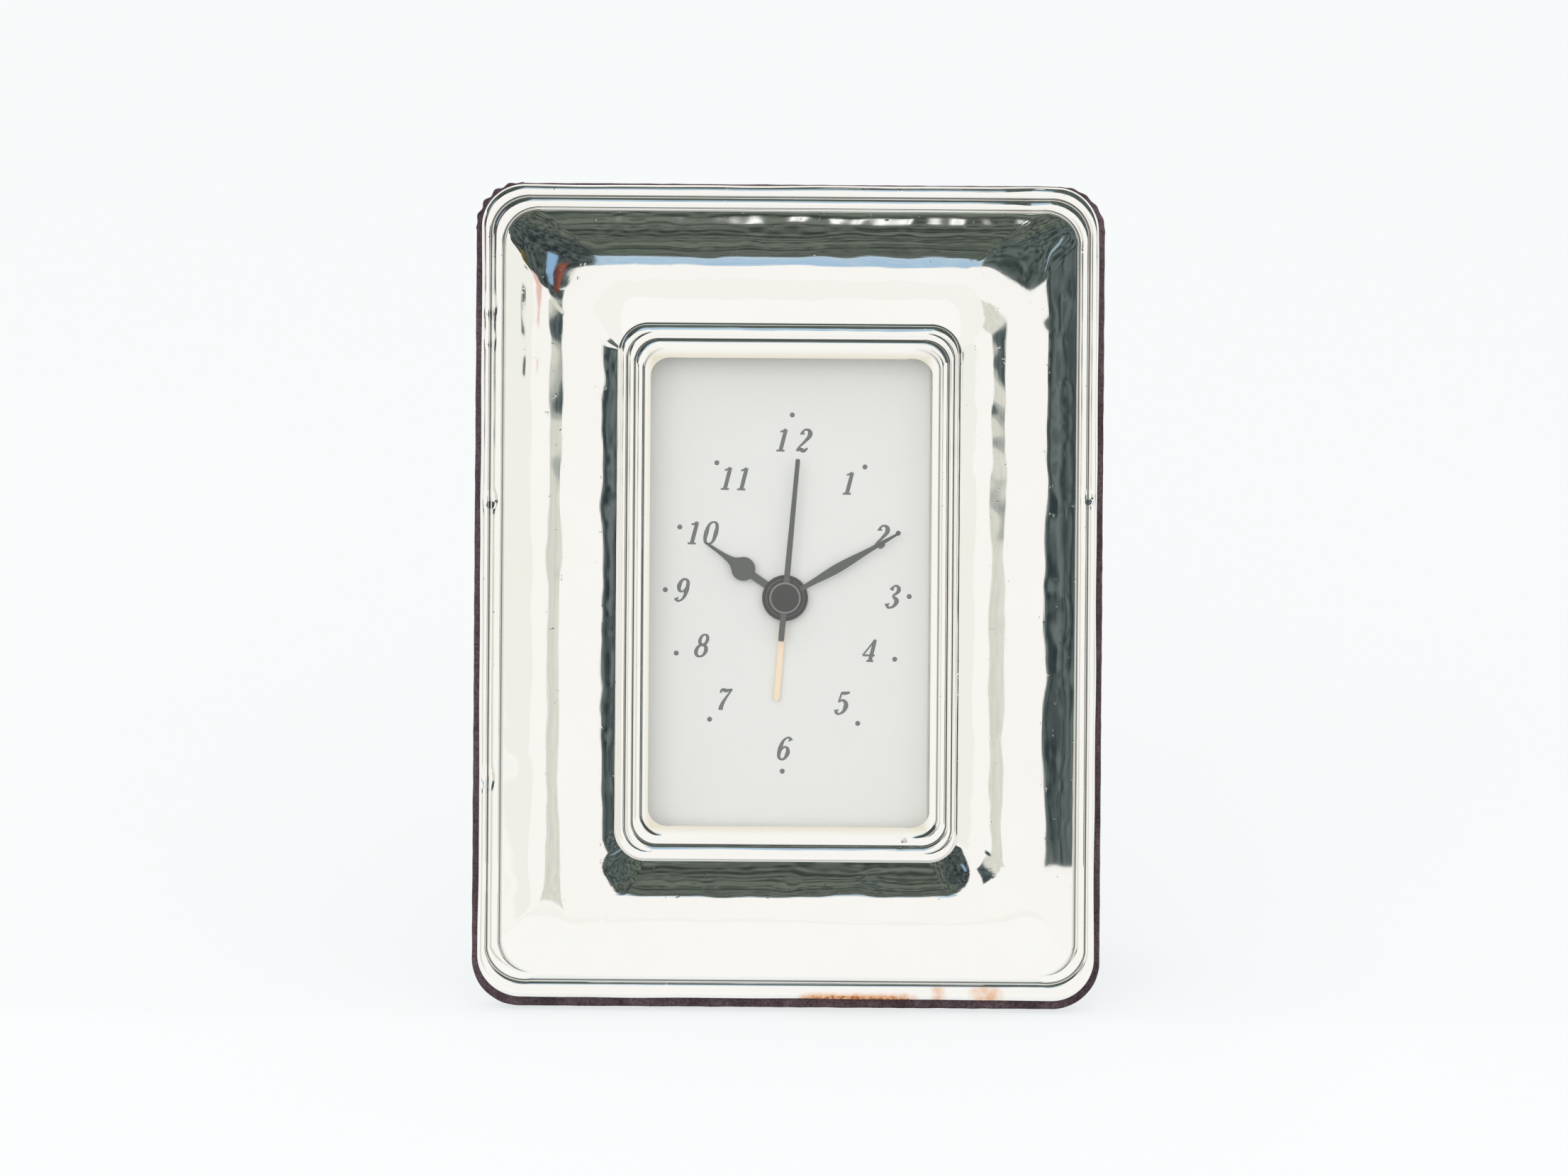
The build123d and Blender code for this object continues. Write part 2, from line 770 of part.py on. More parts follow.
# Battery door runs in a slot that is open at the foot of the rear cover
door_width = battery_length + 2 * door_margin
door_height = -case_bottom - door_top
door_centre = (0.0, case_bottom + door_height / 2)
door_inner = rear_inside + door_clearance
tongue_top = door_inner + door_tongue_thickness
door_slot_width = door_width + 2 * door_clearance
switch_slot = (
    switch_button[0] + switch_travel + 2 * switch_clearance,
    switch_button[1] + 2 * switch_clearance,
)

with BuildPart(movement) as rear_cover:
    block(case_centre, (movement_width, movement_height), rear_face, plate_back)
    fillet(rear_cover.edges().filter_by(face_axis), case_corner)
    inside = (movement_width - 2 * case_wall, movement_height - 2 * case_wall)
    block(case_centre, inside, rear_inside, plate_back, Mode.SUBTRACT)
    for place in boss_places:
        post(place, rear_inside, plate_back, boss_radius)
        post(place, rear_face, plate_back, case_screw_radius, Mode.SUBTRACT)
        post(place, rear_face, rear_face + case_screw_head_height, case_screw_head_radius, Mode.SUBTRACT)
    for place in setting_pivots:
        post(place, rear_face, rear_inside, setting_pivot_radius, Mode.SUBTRACT)
    slot_centre = (switch_place[0] + switch_travel / 2, switch_place[1])
    block(slot_centre, switch_slot, rear_face, rear_inside, Mode.SUBTRACT)
    for number in range(sound_slots):
        slot_y = buzzer_place[1] + (number - (sound_slots - 1) / 2) * sound_slot_pitch
        block((buzzer_place[0], slot_y), sound_slot, rear_face, rear_inside, Mode.SUBTRACT)
    opening_centre = (0.0, door_centre[1] + door_clearance / 2)
    opening_size = (door_slot_width, door_height + door_clearance)
    block(opening_centre, opening_size, rear_face, rear_inside, Mode.SUBTRACT)
    tongue_slot = (door_slot_width + 2 * door_tongue, case_wall)
    foot_centre = (0.0, case_bottom + case_wall / 2)
    block(foot_centre, tongue_slot, rear_face, tongue_top + door_clearance, Mode.SUBTRACT)

with BuildPart(movement) as case_screws:
    for place in boss_places:
        post(place, rear_face, rear_face + case_screw_head_height, case_screw_head_radius)
        post(place, rear_face, plate_back + case_screw_bite, case_screw_radius)

with BuildPart(movement) as battery_door:
    block(door_centre, (door_width, door_height), rear_face, door_inner)
    for side in (-1, 1):
        tongue_width = door_tongue + door_tongue_thickness
        tongue_x = side * (door_width / 2 + door_tongue - tongue_width / 2)
        block((tongue_x, door_centre[1]), (tongue_width, door_height), door_inner, tongue_top)
    for number in range(door_grips):
        grip_y = door_centre[1] + (number - (door_grips - 1) / 2) * door_grip_pitch
        block((0.0, grip_y), (door_grip_length, door_grip_width), rear_face - door_grip_height, rear_face)

# Stepping motor
stator_back = magnet_top - stator_thickness
coil_core_back = stator_back - stator_thickness
bobbin_length = stator_span - 2 * stator_leg - 2 * bobbin_clearance
bobbin_start = coil_place[0] - bobbin_length / 2
coil_depth = (stator_back + coil_core_back) / 2
bobbin_hole = (coil_core_width + 2 * bobbin_clearance, stator_thickness + 2 * bobbin_clearance)
bobbin_tube = (bobbin_hole[0] + 2 * bobbin_wall, bobbin_hole[1] + 2 * bobbin_wall)


def sideways(x, y, depth):
    """Plane across the movement that looks along +X: its x is up the face and its y is forward."""
    return Plane(origin=movement.from_local_coords((x, y, depth)), x_dir=face.y_dir, z_dir=face.x_dir)


with BuildPart(movement) as stator:
    with BuildSketch(spot(insert_shift_x + rotor_place[0], hub_y + rotor_place[1], stator_back)):
        rotor_hole = magnet_radius + stator_clearance
        Circle(rotor_hole + stator_ring)
        with Locations((0, stator_leg)):
            Rectangle(stator_span, stator_leg)
        leg_middle = (stator_leg + coil_rise) / 2
        with Locations((-leg_offset, leg_middle), (leg_offset, leg_middle)):
            Rectangle(stator_leg, coil_rise)
        Circle(rotor_hole, mode=Mode.SUBTRACT)
    extrude(amount=stator_thickness)

with BuildPart(movement) as coil_core:
    block(coil_place, (stator_span, coil_core_width), coil_core_back, stator_back)

with BuildPart() as coil_bobbin:
    for start in (bobbin_start, bobbin_start + bobbin_length - bobbin_flange):
        with BuildSketch(sideways(start, coil_place[1], coil_depth)):
            Rectangle(*bobbin_size)
        extrude(amount=bobbin_flange)
    with BuildSketch(sideways(bobbin_start, coil_place[1], coil_depth)):
        Rectangle(*bobbin_tube)
    extrude(amount=bobbin_length)
    with BuildSketch(sideways(bobbin_start, coil_place[1], coil_depth)):
        Rectangle(*bobbin_hole)
    extrude(amount=bobbin_length, mode=Mode.SUBTRACT)

with BuildPart() as coil_winding:
    with BuildSketch(sideways(bobbin_start + bobbin_flange, coil_place[1], coil_depth)):
        RectangleRounded(*winding_size, winding_corner)
        Rectangle(*bobbin_tube, mode=Mode.SUBTRACT)
    extrude(amount=bobbin_length - 2 * bobbin_flange)

# Electronics
with BuildPart(movement) as circuit_board:
    block(board_place, board_size, board_back, board_back + board_sheet)

with BuildPart() as quartz_crystal:
    crystal_foot = (crystal_place[0], crystal_place[1] - crystal_length / 2, board_back - crystal_radius)
    with BuildSketch(Plane(movement.from_local_coords(crystal_foot), x_dir=face.x_dir, z_dir=face.y_dir)):
        Circle(crystal_radius)
    extrude(amount=crystal_length)

with BuildPart(movement) as chip:
    post(chip_place, board_back - chip_height, board_back, chip_radius)

with BuildPart(movement) as buzzer:
    post(buzzer_place, rear_inside, rear_inside + buzzer_height, buzzer_radius)

with BuildPart() as alarm_contact_spring:
    spring_post = train_posts[2]
    spring_length = -spring_post[1] - contact_spring_end
    with BuildSketch(movement.offset(level(1) - contact_spring_gap - contact_spring_thickness)):
        with Locations((spring_post[0], spring_post[1] + spring_length / 2)):
            Rectangle(contact_spring_width, spring_length)
        with Locations(spring_post):
            Circle(post_radius + contact_spring_width / 2)
            Circle(post_radius, mode=Mode.SUBTRACT)
    extrude(amount=contact_spring_thickness)

# Controls at the back
def knob_outline():
    """Round knob with flutes in its rim."""
    Circle(knob_radius)
    with PolarLocations(knob_radius, knob_flutes):
        Circle(knob_flute_radius, mode=Mode.SUBTRACT)


with BuildPart(movement) as time_knob:
    with BuildSketch(spot(insert_shift_x + motion_place[0], hub_y + motion_place[1], knob_back)):
        knob_outline()
    extrude(amount=knob_height)
    post(motion_place, setting_arbor_end, knob_front, setting_arbor_radius, Mode.SUBTRACT)

with BuildPart(movement) as alarm_knob:
    with BuildSketch(spot(insert_shift_x + alarm_place[0], hub_y + alarm_place[1], knob_back)):
        knob_outline()
    extrude(amount=knob_height)
    post(alarm_place, setting_arbor_end, knob_front, setting_arbor_radius, Mode.SUBTRACT)

with BuildPart(movement) as alarm_switch:
    switch_back = rear_inside + switch_clearance
    block(switch_place, switch_plate[:2], switch_back, switch_back + switch_plate[2])
    block(switch_place, switch_button[:2], rear_face - switch_button[2], switch_back)

# Battery and its contacts
battery_depth = plate_back - battery_gap - battery_radius
battery_start = -(battery_length + battery_nub_height) / 2
battery_end = battery_start + battery_length + battery_nub_height

with BuildPart() as battery:
    with BuildSketch(sideways(battery_start, -battery_drop, battery_depth)):
        Circle(battery_radius)
    extrude(amount=battery_length)
    with BuildSketch(sideways(battery_start + battery_length, -battery_drop, battery_depth)):
        Circle(battery_nub_radius)
    extrude(amount=battery_nub_height)

with BuildPart() as battery_contact_positive:
    with BuildSketch(sideways(case_inner_side - contact_sheet, -battery_drop, battery_depth)):
        Rectangle(*contact_plate)
    extrude(amount=contact_sheet)
    with BuildSketch(sideways(battery_end, -battery_drop, battery_depth)):
        Circle(contact_bump_radius)
    extrude(amount=case_inner_side - battery_end)

with BuildPart() as battery_contact_negative:
    with BuildSketch(sideways(-case_inner_side, -battery_drop, battery_depth)):
        Rectangle(*contact_plate)
    extrude(amount=contact_sheet)
    with BuildSketch(sideways(-case_inner_side, -battery_drop, battery_depth)):
        Circle(contact_spring_radius)
    extrude(amount=case_inner_side + battery_start)

# Easel strut, open: its plane turns with it about the hinge pin
hinge_depth = knuckle_radius + knuckle_stand
hinge = spot(strut_x, hinge_y, -hinge_depth)
strut = leaning_plane(hinge.origin, lean_angle - strut_open_angle)
leaf_width = 3 * knuckle_length + 2 * knuckle_gap
strut_front = hinge_depth - strut_gap
strut_back = strut_front - strut_thickness
strut_reach = hinge.origin.Z / cos(radians(strut_open_angle - lean_angle))
rivet_places = [(side * tack_spacing / 2, -rivet_drop) for side in (-1, 1)]


def barrel(x):
    """Plane square to the hinge pin at a distance from the middle of the hinge."""
    return Plane(origin=hinge.from_local_coords((x, 0, 0)), x_dir=hinge.y_dir, z_dir=hinge.x_dir)


with BuildPart(hinge) as hinge_fixed_leaf:
    block((0, leaf_length / 2), (leaf_width, leaf_length), hinge_depth - leaf_thickness, hinge_depth)
    notch = (knuckle_length + 2 * knuckle_gap, 2 * (knuckle_radius + 3 * knuckle_gap))
    block(hub, notch, hinge_depth - leaf_thickness, hinge_depth, Mode.SUBTRACT)
    for start in (-leaf_width / 2, leaf_width / 2 - knuckle_length):
        with BuildSketch(barrel(start)):
            Circle(knuckle_radius)
            Circle(hinge_pin_radius, mode=Mode.SUBTRACT)
        extrude(amount=knuckle_length)
    for x, y in tack_places:
        post((x - strut_x, y - hinge_y), 0, hinge_depth, tack_radius, Mode.SUBTRACT)

with BuildPart(strut) as hinge_moving_leaf:
    leaf_front = strut_front + leaf_thickness
    block((0, -leaf_neck / 2), (knuckle_length, leaf_neck), strut_front, leaf_front)
    plate_length = leaf_length - leaf_neck
    block((0, -leaf_neck - plate_length / 2), (leaf_width, plate_length), strut_front, leaf_front)
    for place in rivet_places:
        post(place, strut_front, leaf_front, tack_radius, Mode.SUBTRACT)
    with BuildSketch(barrel(-knuckle_length / 2)):
        Circle(knuckle_radius)
    extrude(amount=knuckle_length)
    with BuildSketch(barrel(-knuckle_length / 2)):
        Circle(hinge_pin_radius + hinge_clearance)
    extrude(amount=knuckle_length, mode=Mode.SUBTRACT)

with BuildPart() as hinge_pin:
    with BuildSketch(barrel(-leaf_width / 2)):
        Circle(hinge_pin_radius)
    extrude(amount=leaf_width)

with BuildPart(face) as hinge_tacks:
    for place in tack_places:
        post(place, -leaf_thickness - tack_head_height, -leaf_thickness, tack_head_radius)
        post(place, -leaf_thickness, velvet_skin + tack_bite, tack_radius)


def strut_outline(skin, end):
    """Strut that widens to its foot, drawn in by a skin at its sides."""
    top = strut_top_width / 2 - skin
    foot = strut_foot_width / 2 - skin
    Polygon((-top, -strut_top), (top, -strut_top), (foot, -end), (-foot, -end), align=None)


with BuildPart(strut) as strut_core:
    with BuildSketch(strut.offset(strut_back + strut_skin)):
        strut_outline(strut_skin, strut_reach - strut_foot_cap)
    extrude(amount=strut_thickness - 2 * strut_skin)
    for place in rivet_places:
        post(place, strut_back, strut_front, tack_radius, Mode.SUBTRACT)

with BuildPart(strut) as strut_cover:
    with BuildSketch(strut.offset(strut_back)):
        strut_outline(0, strut_reach + strut_foot_cap)
    extrude(amount=strut_thickness)
    with BuildSketch(strut.offset(strut_back + strut_skin)):
        strut_outline(strut_skin, strut_reach - strut_foot_cap)
    extrude(amount=strut_thickness - 2 * strut_skin, mode=Mode.SUBTRACT)
    for place in rivet_places:
        post(place, strut_back, strut_front, tack_radius, Mode.SUBTRACT)
    split(bisect_by=Plane.XY, keep=Keep.TOP)

with BuildPart(strut) as strut_rivets:
    for place in rivet_places:
        post(place, strut_back, strut_front + leaf_thickness, tack_radius)
        post(place, strut_back - tack_head_height, strut_back, tack_head_radius)

pieces = {
    "silver_front": silver_front,
    "core_moulding": core_moulding,
    "back_board": back_board,
    "velvet_cover": velvet_cover,
    "frame_screws": frame_screws,
    "lens": lens,
    "dial_spacer": dial_spacer,
    "dial": dial,
    "axle_nut": axle_nut,
    "alarm_hand": alarm_hand,
    "hour_hand": hour_hand,
    "minute_hand": minute_hand,
    "second_hand": second_hand,
    "rotor": rotor,
    "fifth_wheel": fifth_wheel,
    "seconds_wheel": seconds_wheel,
    "third_wheel": third_wheel,
    "centre_wheel": centre_wheel,
    "cannon_pinion": cannon_pinion,
    "motion_wheel": motion_wheel,
    "hour_wheel": hour_wheel,
    "alarm_wheel": alarm_wheel,
    "alarm_setting_pinion": alarm_setting_pinion,
    "movement_front_plate": movement_front_plate,
    "train_plate": train_plate,
    "train_screws": train_screws,
    "rear_cover": rear_cover,
    "case_screws": case_screws,
    "battery_door": battery_door,
    "stator": stator,
    "coil_core": coil_core,
    "coil_bobbin": coil_bobbin,
    "coil_winding": coil_winding,
    "circuit_board": circuit_board,
    "quartz_crystal": quartz_crystal,
    "chip": chip,
    "buzzer": buzzer,
    "alarm_contact_spring": alarm_contact_spring,
    "time_knob": time_knob,
    "alarm_knob": alarm_knob,
    "alarm_switch": alarm_switch,
    "battery": battery,
    "battery_contact_positive": battery_contact_positive,
    "battery_contact_negative": battery_contact_negative,
    "hinge_fixed_leaf": hinge_fixed_leaf,
    "hinge_moving_leaf": hinge_moving_leaf,
    "hinge_pin": hinge_pin,
    "hinge_tacks": hinge_tacks,
    "strut_core": strut_core,
    "strut_cover": strut_cover,
    "strut_rivets": strut_rivets,
}

os.makedirs("parts", exist_ok=True)
for name, piece in pieces.items():
    piece.part.label = name
    export_step(piece.part, f"parts/{name}.step")
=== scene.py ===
# %% [markdown]
# # A photo frame clock
# A small table alarm clock whose dial sits in a stamped silver picture frame. The solids of the clock
# come in first as a fixed frame in metres. This lesson then gives them their finishes, and makes again
# the pieces that solids can't show well: the dented silver sheet, the velvet and the printed dial.

# %% Load the solids
import json
import math

import bmesh
import bpy
from mathutils import Matrix, Quaternion, Vector, noise


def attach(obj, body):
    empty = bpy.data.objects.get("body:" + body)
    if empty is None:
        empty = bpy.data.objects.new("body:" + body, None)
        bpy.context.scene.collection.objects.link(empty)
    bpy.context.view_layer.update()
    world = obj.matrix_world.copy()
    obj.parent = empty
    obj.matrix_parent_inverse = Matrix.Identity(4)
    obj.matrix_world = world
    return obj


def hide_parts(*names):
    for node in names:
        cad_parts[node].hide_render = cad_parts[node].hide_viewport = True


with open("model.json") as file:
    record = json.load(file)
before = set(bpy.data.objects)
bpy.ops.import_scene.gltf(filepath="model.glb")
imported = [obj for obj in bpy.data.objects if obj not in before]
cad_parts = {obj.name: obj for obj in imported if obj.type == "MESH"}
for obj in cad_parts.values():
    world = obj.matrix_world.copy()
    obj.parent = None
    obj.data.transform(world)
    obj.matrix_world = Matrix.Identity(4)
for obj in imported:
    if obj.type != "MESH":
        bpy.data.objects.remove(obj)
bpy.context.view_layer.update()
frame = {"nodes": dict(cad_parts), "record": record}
scene = bpy.context.scene
scene.view_settings.view_transform = "Standard"

# %% [markdown]
# The clock leans back on its strut, so its face isn't square to the world. It is easier to model on the
# face itself, in millimetres: x to the right, y up the face and depth towards the viewer, with depth 0 at
# the back of the velvet. One matrix then carries a finished mesh from the face to the world in metres.

# %% The leaning face
MM = 0.001
LEAN = math.radians(12.0)
BASE_CUT = 0.4
BASE_SHIFT = BASE_CUT * (1 / math.tan(LEAN) - math.tan(LEAN)) / 2


def leaning(origin, angle):
    """Matrix of a plane that leans back by an angle: x right, y up it, z out of its front."""
    turn = Matrix((
        (1, 0, 0, 0),
        (0, math.sin(angle), -math.cos(angle), 0),
        (0, math.cos(angle), math.sin(angle), 0),
        (0, 0, 0, 1),
    ))
    return Matrix.Translation(origin) @ turn @ Matrix.Scale(MM, 4)


face = leaning((0, BASE_SHIFT * MM, -BASE_CUT * MM), LEAN)
VELVET_SIZE = (100.0, 131.0)
VELVET_CORNER = 7.6
SILVER_SIZE = (97.9, 129.1)
SILVER_Y = 66.1
FRONT_BASE = 5.4
HUB = (-0.5, 65.2)
DIAL_FRONT = 3.0
print("hub", [round(value, 4) for value in face @ Vector((*HUB, DIAL_FRONT))])

# %% [markdown]
# The photograph looks almost straight at the leaning face through a long lens. So the camera stands on the
# line that is all but square to the face, 1.2 m away, and the lens is worked out from how wide the picture
# is at the clock. A small roll gives the same turn that the clock has in the picture.

# %% Camera
PICTURE_SIZE = (2212, 1659)
MM_PER_PIXEL = 0.1128
CLOCK_CENTRE_PIXEL = (1112.0, 841.0)
CAMERA_DISTANCE = 1.2
CAMERA_ROLL = math.radians(0.42)
CAMERA_RISE = math.radians(12.5)
SENSOR_WIDTH = 36.0

off_centre = [(pixel - size / 2) * MM_PER_PIXEL for pixel, size in zip(CLOCK_CENTRE_PIXEL, PICTURE_SIZE)]
aim = face @ Vector((-off_centre[0], VELVET_SIZE[1] / 2 + off_centre[1], FRONT_BASE))
towards_camera = Vector((0, -math.cos(CAMERA_RISE), math.sin(CAMERA_RISE)))
camera_data = bpy.data.cameras.new("camera")
camera_data.sensor_width = SENSOR_WIDTH
camera_data.lens = SENSOR_WIDTH * CAMERA_DISTANCE / (PICTURE_SIZE[0] * MM_PER_PIXEL * MM)
camera = bpy.data.objects.new("camera", camera_data)
camera.location = aim + towards_camera * CAMERA_DISTANCE
camera.rotation_mode = "QUATERNION"
camera.rotation_quaternion = (-towards_camera).to_track_quat("-Z", "Y") @ Quaternion((0, 0, 1), CAMERA_ROLL)
scene.collection.objects.link(camera)
scene.camera = camera
print("lens", round(camera_data.lens, 1), "mm")

# %% [markdown]
# Every finish is a node tree, and most trees are a few nodes long. A few small helpers keep them readable.
# They turn the sRGB colour that the eye sees into the linear numbers that Blender works in, add a node with
# its settings and its links, start a material, and give a texture its scale from a size in millimetres.

# %% Colour and node helpers
def linear(hex_colour, alpha=1.0):
    """Linear colour of an sRGB hex value such as #A0522D."""
    channels = [int(hex_colour[i : i + 2], 16) / 255 for i in (1, 3, 5)]
    return [c / 12.92 if c <= 0.04045 else ((c + 0.055) / 1.055) ** 2.4 for c in channels] + [alpha]


def add_node(tree, kind, inputs=None, **settings):
    """Adds a node with its own settings; each input takes a value, or a socket to link."""
    made = tree.nodes.new(kind)
    for name, value in settings.items():
        setattr(made, name, value)
    for name, value in (inputs or {}).items():
        if isinstance(value, bpy.types.NodeSocket):
            tree.links.new(value, made.inputs[name])
        else:
            made.inputs[name].default_value = value
    return made


def new_material(name, even):
    """Material with a Principled shader, whose even values go straight on its sockets."""
    material = bpy.data.materials.new(name)
    material.use_nodes = True
    shader = material.node_tree.nodes["Principled BSDF"]
    for socket, value in even.items():
        shader.inputs[socket].default_value = value
    return material, material.node_tree, shader


def per_metre(millimetres):
    """Scale of a texture whose features are this many millimetres apart."""
    return 1 / (millimetres * MM)


print("white is", linear("#FFFFFF"))

# %% [markdown]
# A white sweep under soft light is how such a clock is photographed. Polished silver has no colour of its
# own there: it shows the room. The floor and the world are near white, so most of the silver stays pale. Both
# look brighter than they light: a node asks whether the camera sees them straight, in a mirror or through
# the lens, and only then lifts them.

# %% Floor and world
FLOOR_RADIUS = 6.0
# How much the floor glows when it is seen, and how much of its brightness the world gives as light
FLOOR_LIFT = 0.745
WORLD_LIGHT = 0.78


def stage_piece(bm, name, material):
    """Writes a bmesh to an object that belongs to the studio and not to the clock."""
    mesh = bpy.data.meshes.new(name)
    bm.to_mesh(mesh)
    bm.free()
    mesh.materials.append(material)
    made = bpy.data.objects.new(name, mesh)
    scene.collection.objects.link(made)
    return made


def seen_ray(tree):
    """Socket that is 1 for what the camera sees straight, in a mirror or through a lens, and else 0."""
    ray = add_node(tree, "ShaderNodeLightPath").outputs
    pair = {0: ray["Is Camera Ray"], 1: ray["Is Glossy Ray"]}
    seen = add_node(tree, "ShaderNodeMath", pair, operation="MAXIMUM").outputs[0]
    pair = {0: seen, 1: ray["Is Transmission Ray"]}
    return add_node(tree, "ShaderNodeMath", pair, operation="MAXIMUM").outputs[0]


floor_paper, tree, shader = new_material(
    "white_paper_sweep", {"Base Color": linear("#8A8B8B"), "Roughness": 0.9, "Specular IOR Level": 0.1}
)
lift = add_node(tree, "ShaderNodeMath", {0: seen_ray(tree), 1: FLOOR_LIFT}, operation="MULTIPLY")
tree.links.new(lift.outputs[0], shader.inputs["Emission Strength"])
shader.inputs["Emission Color"].default_value = linear("#FBFEFF")
bm = bmesh.new()
bmesh.ops.create_circle(bm, cap_ends=True, segments=64, radius=FLOOR_RADIUS)
stage_piece(bm, "floor", floor_paper)

world = bpy.data.worlds.new("white_room")
world.use_nodes = True
scene.world = world
room = world.node_tree
bright = {"Value": seen_ray(room), "To Min": WORLD_LIGHT, "To Max": 1.0}
strength = add_node(room, "ShaderNodeMapRange", bright)
background = room.nodes["Background"]
background.inputs["Color"].default_value = linear("#FDFCFA")
room.links.new(strength.outputs["Result"], background.inputs["Strength"])
print("floor", FLOOR_RADIUS, "m")

# %% [markdown]
# The dark bands and small colours on the rails come from screens that only reflections see. Most are flat
# sheets far enough away that every rail sees them at the same angle, and each is placed by the angles at
# which the silver shows its edges. A few small ones stand close to one corner and are hidden from what is
# far below it. No screen casts a shadow, lights anything or shows to the camera, so none can turn up in
# another view.

# %% Screens for the silver
CEILING = 2.4
# Middle of the silver in metres, across and up, from which most angles are counted
SILVER_MIDDLE = (0.0, 0.08)
# Degrees above its own top edge at which a local sheet is hidden
LOCAL_MARGIN = 2.5


def screen(name, colour, corners, strength=1.0, mottle=None, grain=9.0, steepest=None):
    """Flat sheet through four corners that shows only in reflections.

    It can have a second colour, in a grain per metre, and be hidden from sight lines that climb more steeply
    than an angle in degrees.
    """
    material = bpy.data.materials.new(name)
    material.use_nodes = True
    tree = material.node_tree
    tree.nodes.clear()
    light = add_node(tree, "ShaderNodeEmission", {"Color": linear(colour), "Strength": strength})
    if mottle:
        place = add_node(tree, "ShaderNodeTexCoord").outputs["Object"]
        clouds = {"Vector": place, "Scale": grain, "Detail": 5.0, "Roughness": 0.6}
        cloud = add_node(tree, "ShaderNodeTexNoise", clouds).outputs["Fac"]
        parted = add_node(tree, "ShaderNodeMapRange", {"Value": cloud, "From Min": 0.4, "From Max": 0.6})
        both = {"Factor": parted.outputs["Result"], 6: linear(colour), 7: linear(mottle)}
        blend = add_node(tree, "ShaderNodeMix", both, data_type="RGBA")
        tree.links.new(blend.outputs[2], light.inputs["Color"])
    surface = light.outputs[0]
    if steepest is not None:
        sight = add_node(tree, "ShaderNodeNewGeometry")
        climb = add_node(tree, "ShaderNodeSeparateXYZ", {0: sight.outputs["Incoming"]})
        limit = -math.sin(math.radians(steepest))
        shown = add_node(tree, "ShaderNodeMath", {0: climb.outputs["Z"], 1: limit}, operation="GREATER_THAN")
        clear = add_node(tree, "ShaderNodeBsdfTransparent")
        parts = {0: shown.outputs[0], 1: clear.outputs[0], 2: surface}
        surface = add_node(tree, "ShaderNodeMixShader", parts).outputs[0]
    add_node(tree, "ShaderNodeOutputMaterial", {"Surface": surface})
    bm = bmesh.new()
    bm.faces.new([bm.verts.new(corner) for corner in corners])
    sheet = stage_piece(bm, name, material)
    sheet.visible_camera = sheet.visible_diffuse = sheet.visible_shadow = sheet.visible_transmission = False


def upright(name, colour, turn, low, high, distance=2.4, seen_from=SILVER_MIDDLE, local=False, **extra):
    """Upright sheet between two turns to the right of the camera, in degrees.

    Its lower and upper edges have a rise in degrees at each end. A local sheet shows to the corner that it is
    seen from, and is hidden from pieces of the clock well below that.
    """
    across, height = seen_from
    turns = [math.radians(angle) for angle in turn]
    ends = [(across + distance * math.sin(angle), -distance * math.cos(angle)) for angle in turns]
    bottom, top = [[height + distance * math.tan(math.radians(a)) for a in edge] for edge in (low, high)]
    corners = [(*ends[0], bottom[0]), (*ends[1], bottom[1]), (*ends[1], top[1]), (*ends[0], top[0])]
    screen(name, colour, corners, steepest=max(high) + LOCAL_MARGIN if local else None, **extra)


def overhead(name, colour, rise, across=(-5.0, 5.0), drop=0.0, **extra):
    """Level sheet under the ceiling between two rises in degrees, counted up from the camera's side."""
    height = CEILING - drop
    near, far = [-(height - SILVER_MIDDLE[1]) / math.tan(math.radians(angle)) for angle in rise]
    left, right = across
    corners = [(left, near, height), (right, near, height), (right, far, height), (left, far, height)]
    screen(name, colour, corners, **extra)


print("ceiling", CEILING, "m")

# %% [markdown]
# The far screens are a dark ceiling with two small lamps, a dark wall to the right, a window over the
# camera and a post to the left. The near ones fill the upper corners of the silver. Last come white cards
# that keep the lower half pale: paper in front of the clock, a card that ends the dark at the foot of the
# right rail, and one that keeps the blue out of the lower rail.

# %% The room in the silver
LAMP_HALF = 0.012
overhead("dark_ceiling", "#70786F", (35.0, 100.0), mottle="#343B36", grain=7.0)
for x in (0.02, 0.055):
    overhead("small_lamp", "#FFFFFF", (85.0, 91.0), (x - LAMP_HALF, x + LAMP_HALF), drop=0.05, strength=1.4)
upright("dark_right_wall", "#6B7676", (51.8, 92.0), (-1.9, -1.9), (46.0, 46.0), mottle="#2C3638", grain=7.0)
upright("blue_window", "#A0C2DE", (-5.5, 3.3), (21.5, 21.5), (35.5, 35.5), distance=2.6, mottle="#BED3E3")
upright("grey_left_post", "#D4D4CB", (-29.0, -9.5), (0.0, 0.0), (12.8, 12.8), mottle="#E2E2DA")
upright(
    "grey_left_neck", "#9AA09C", (-28.5, -10.0), (12.3, 12.3), (14.1, 14.1),
    distance=2.35, mottle="#BFC2BC", grain=20.0,
)
upright(
    "dark_left_head", "#5A6668", (-29.0, -10.0), (13.4, 13.4), (20.0, 20.0), distance=2.3, mottle="#333D40"
)
upright("cream_left_wall", "#F4F5F0", (-85.0, -52.0), (0.0, 0.0), (16.0, 16.0), distance=2.6)
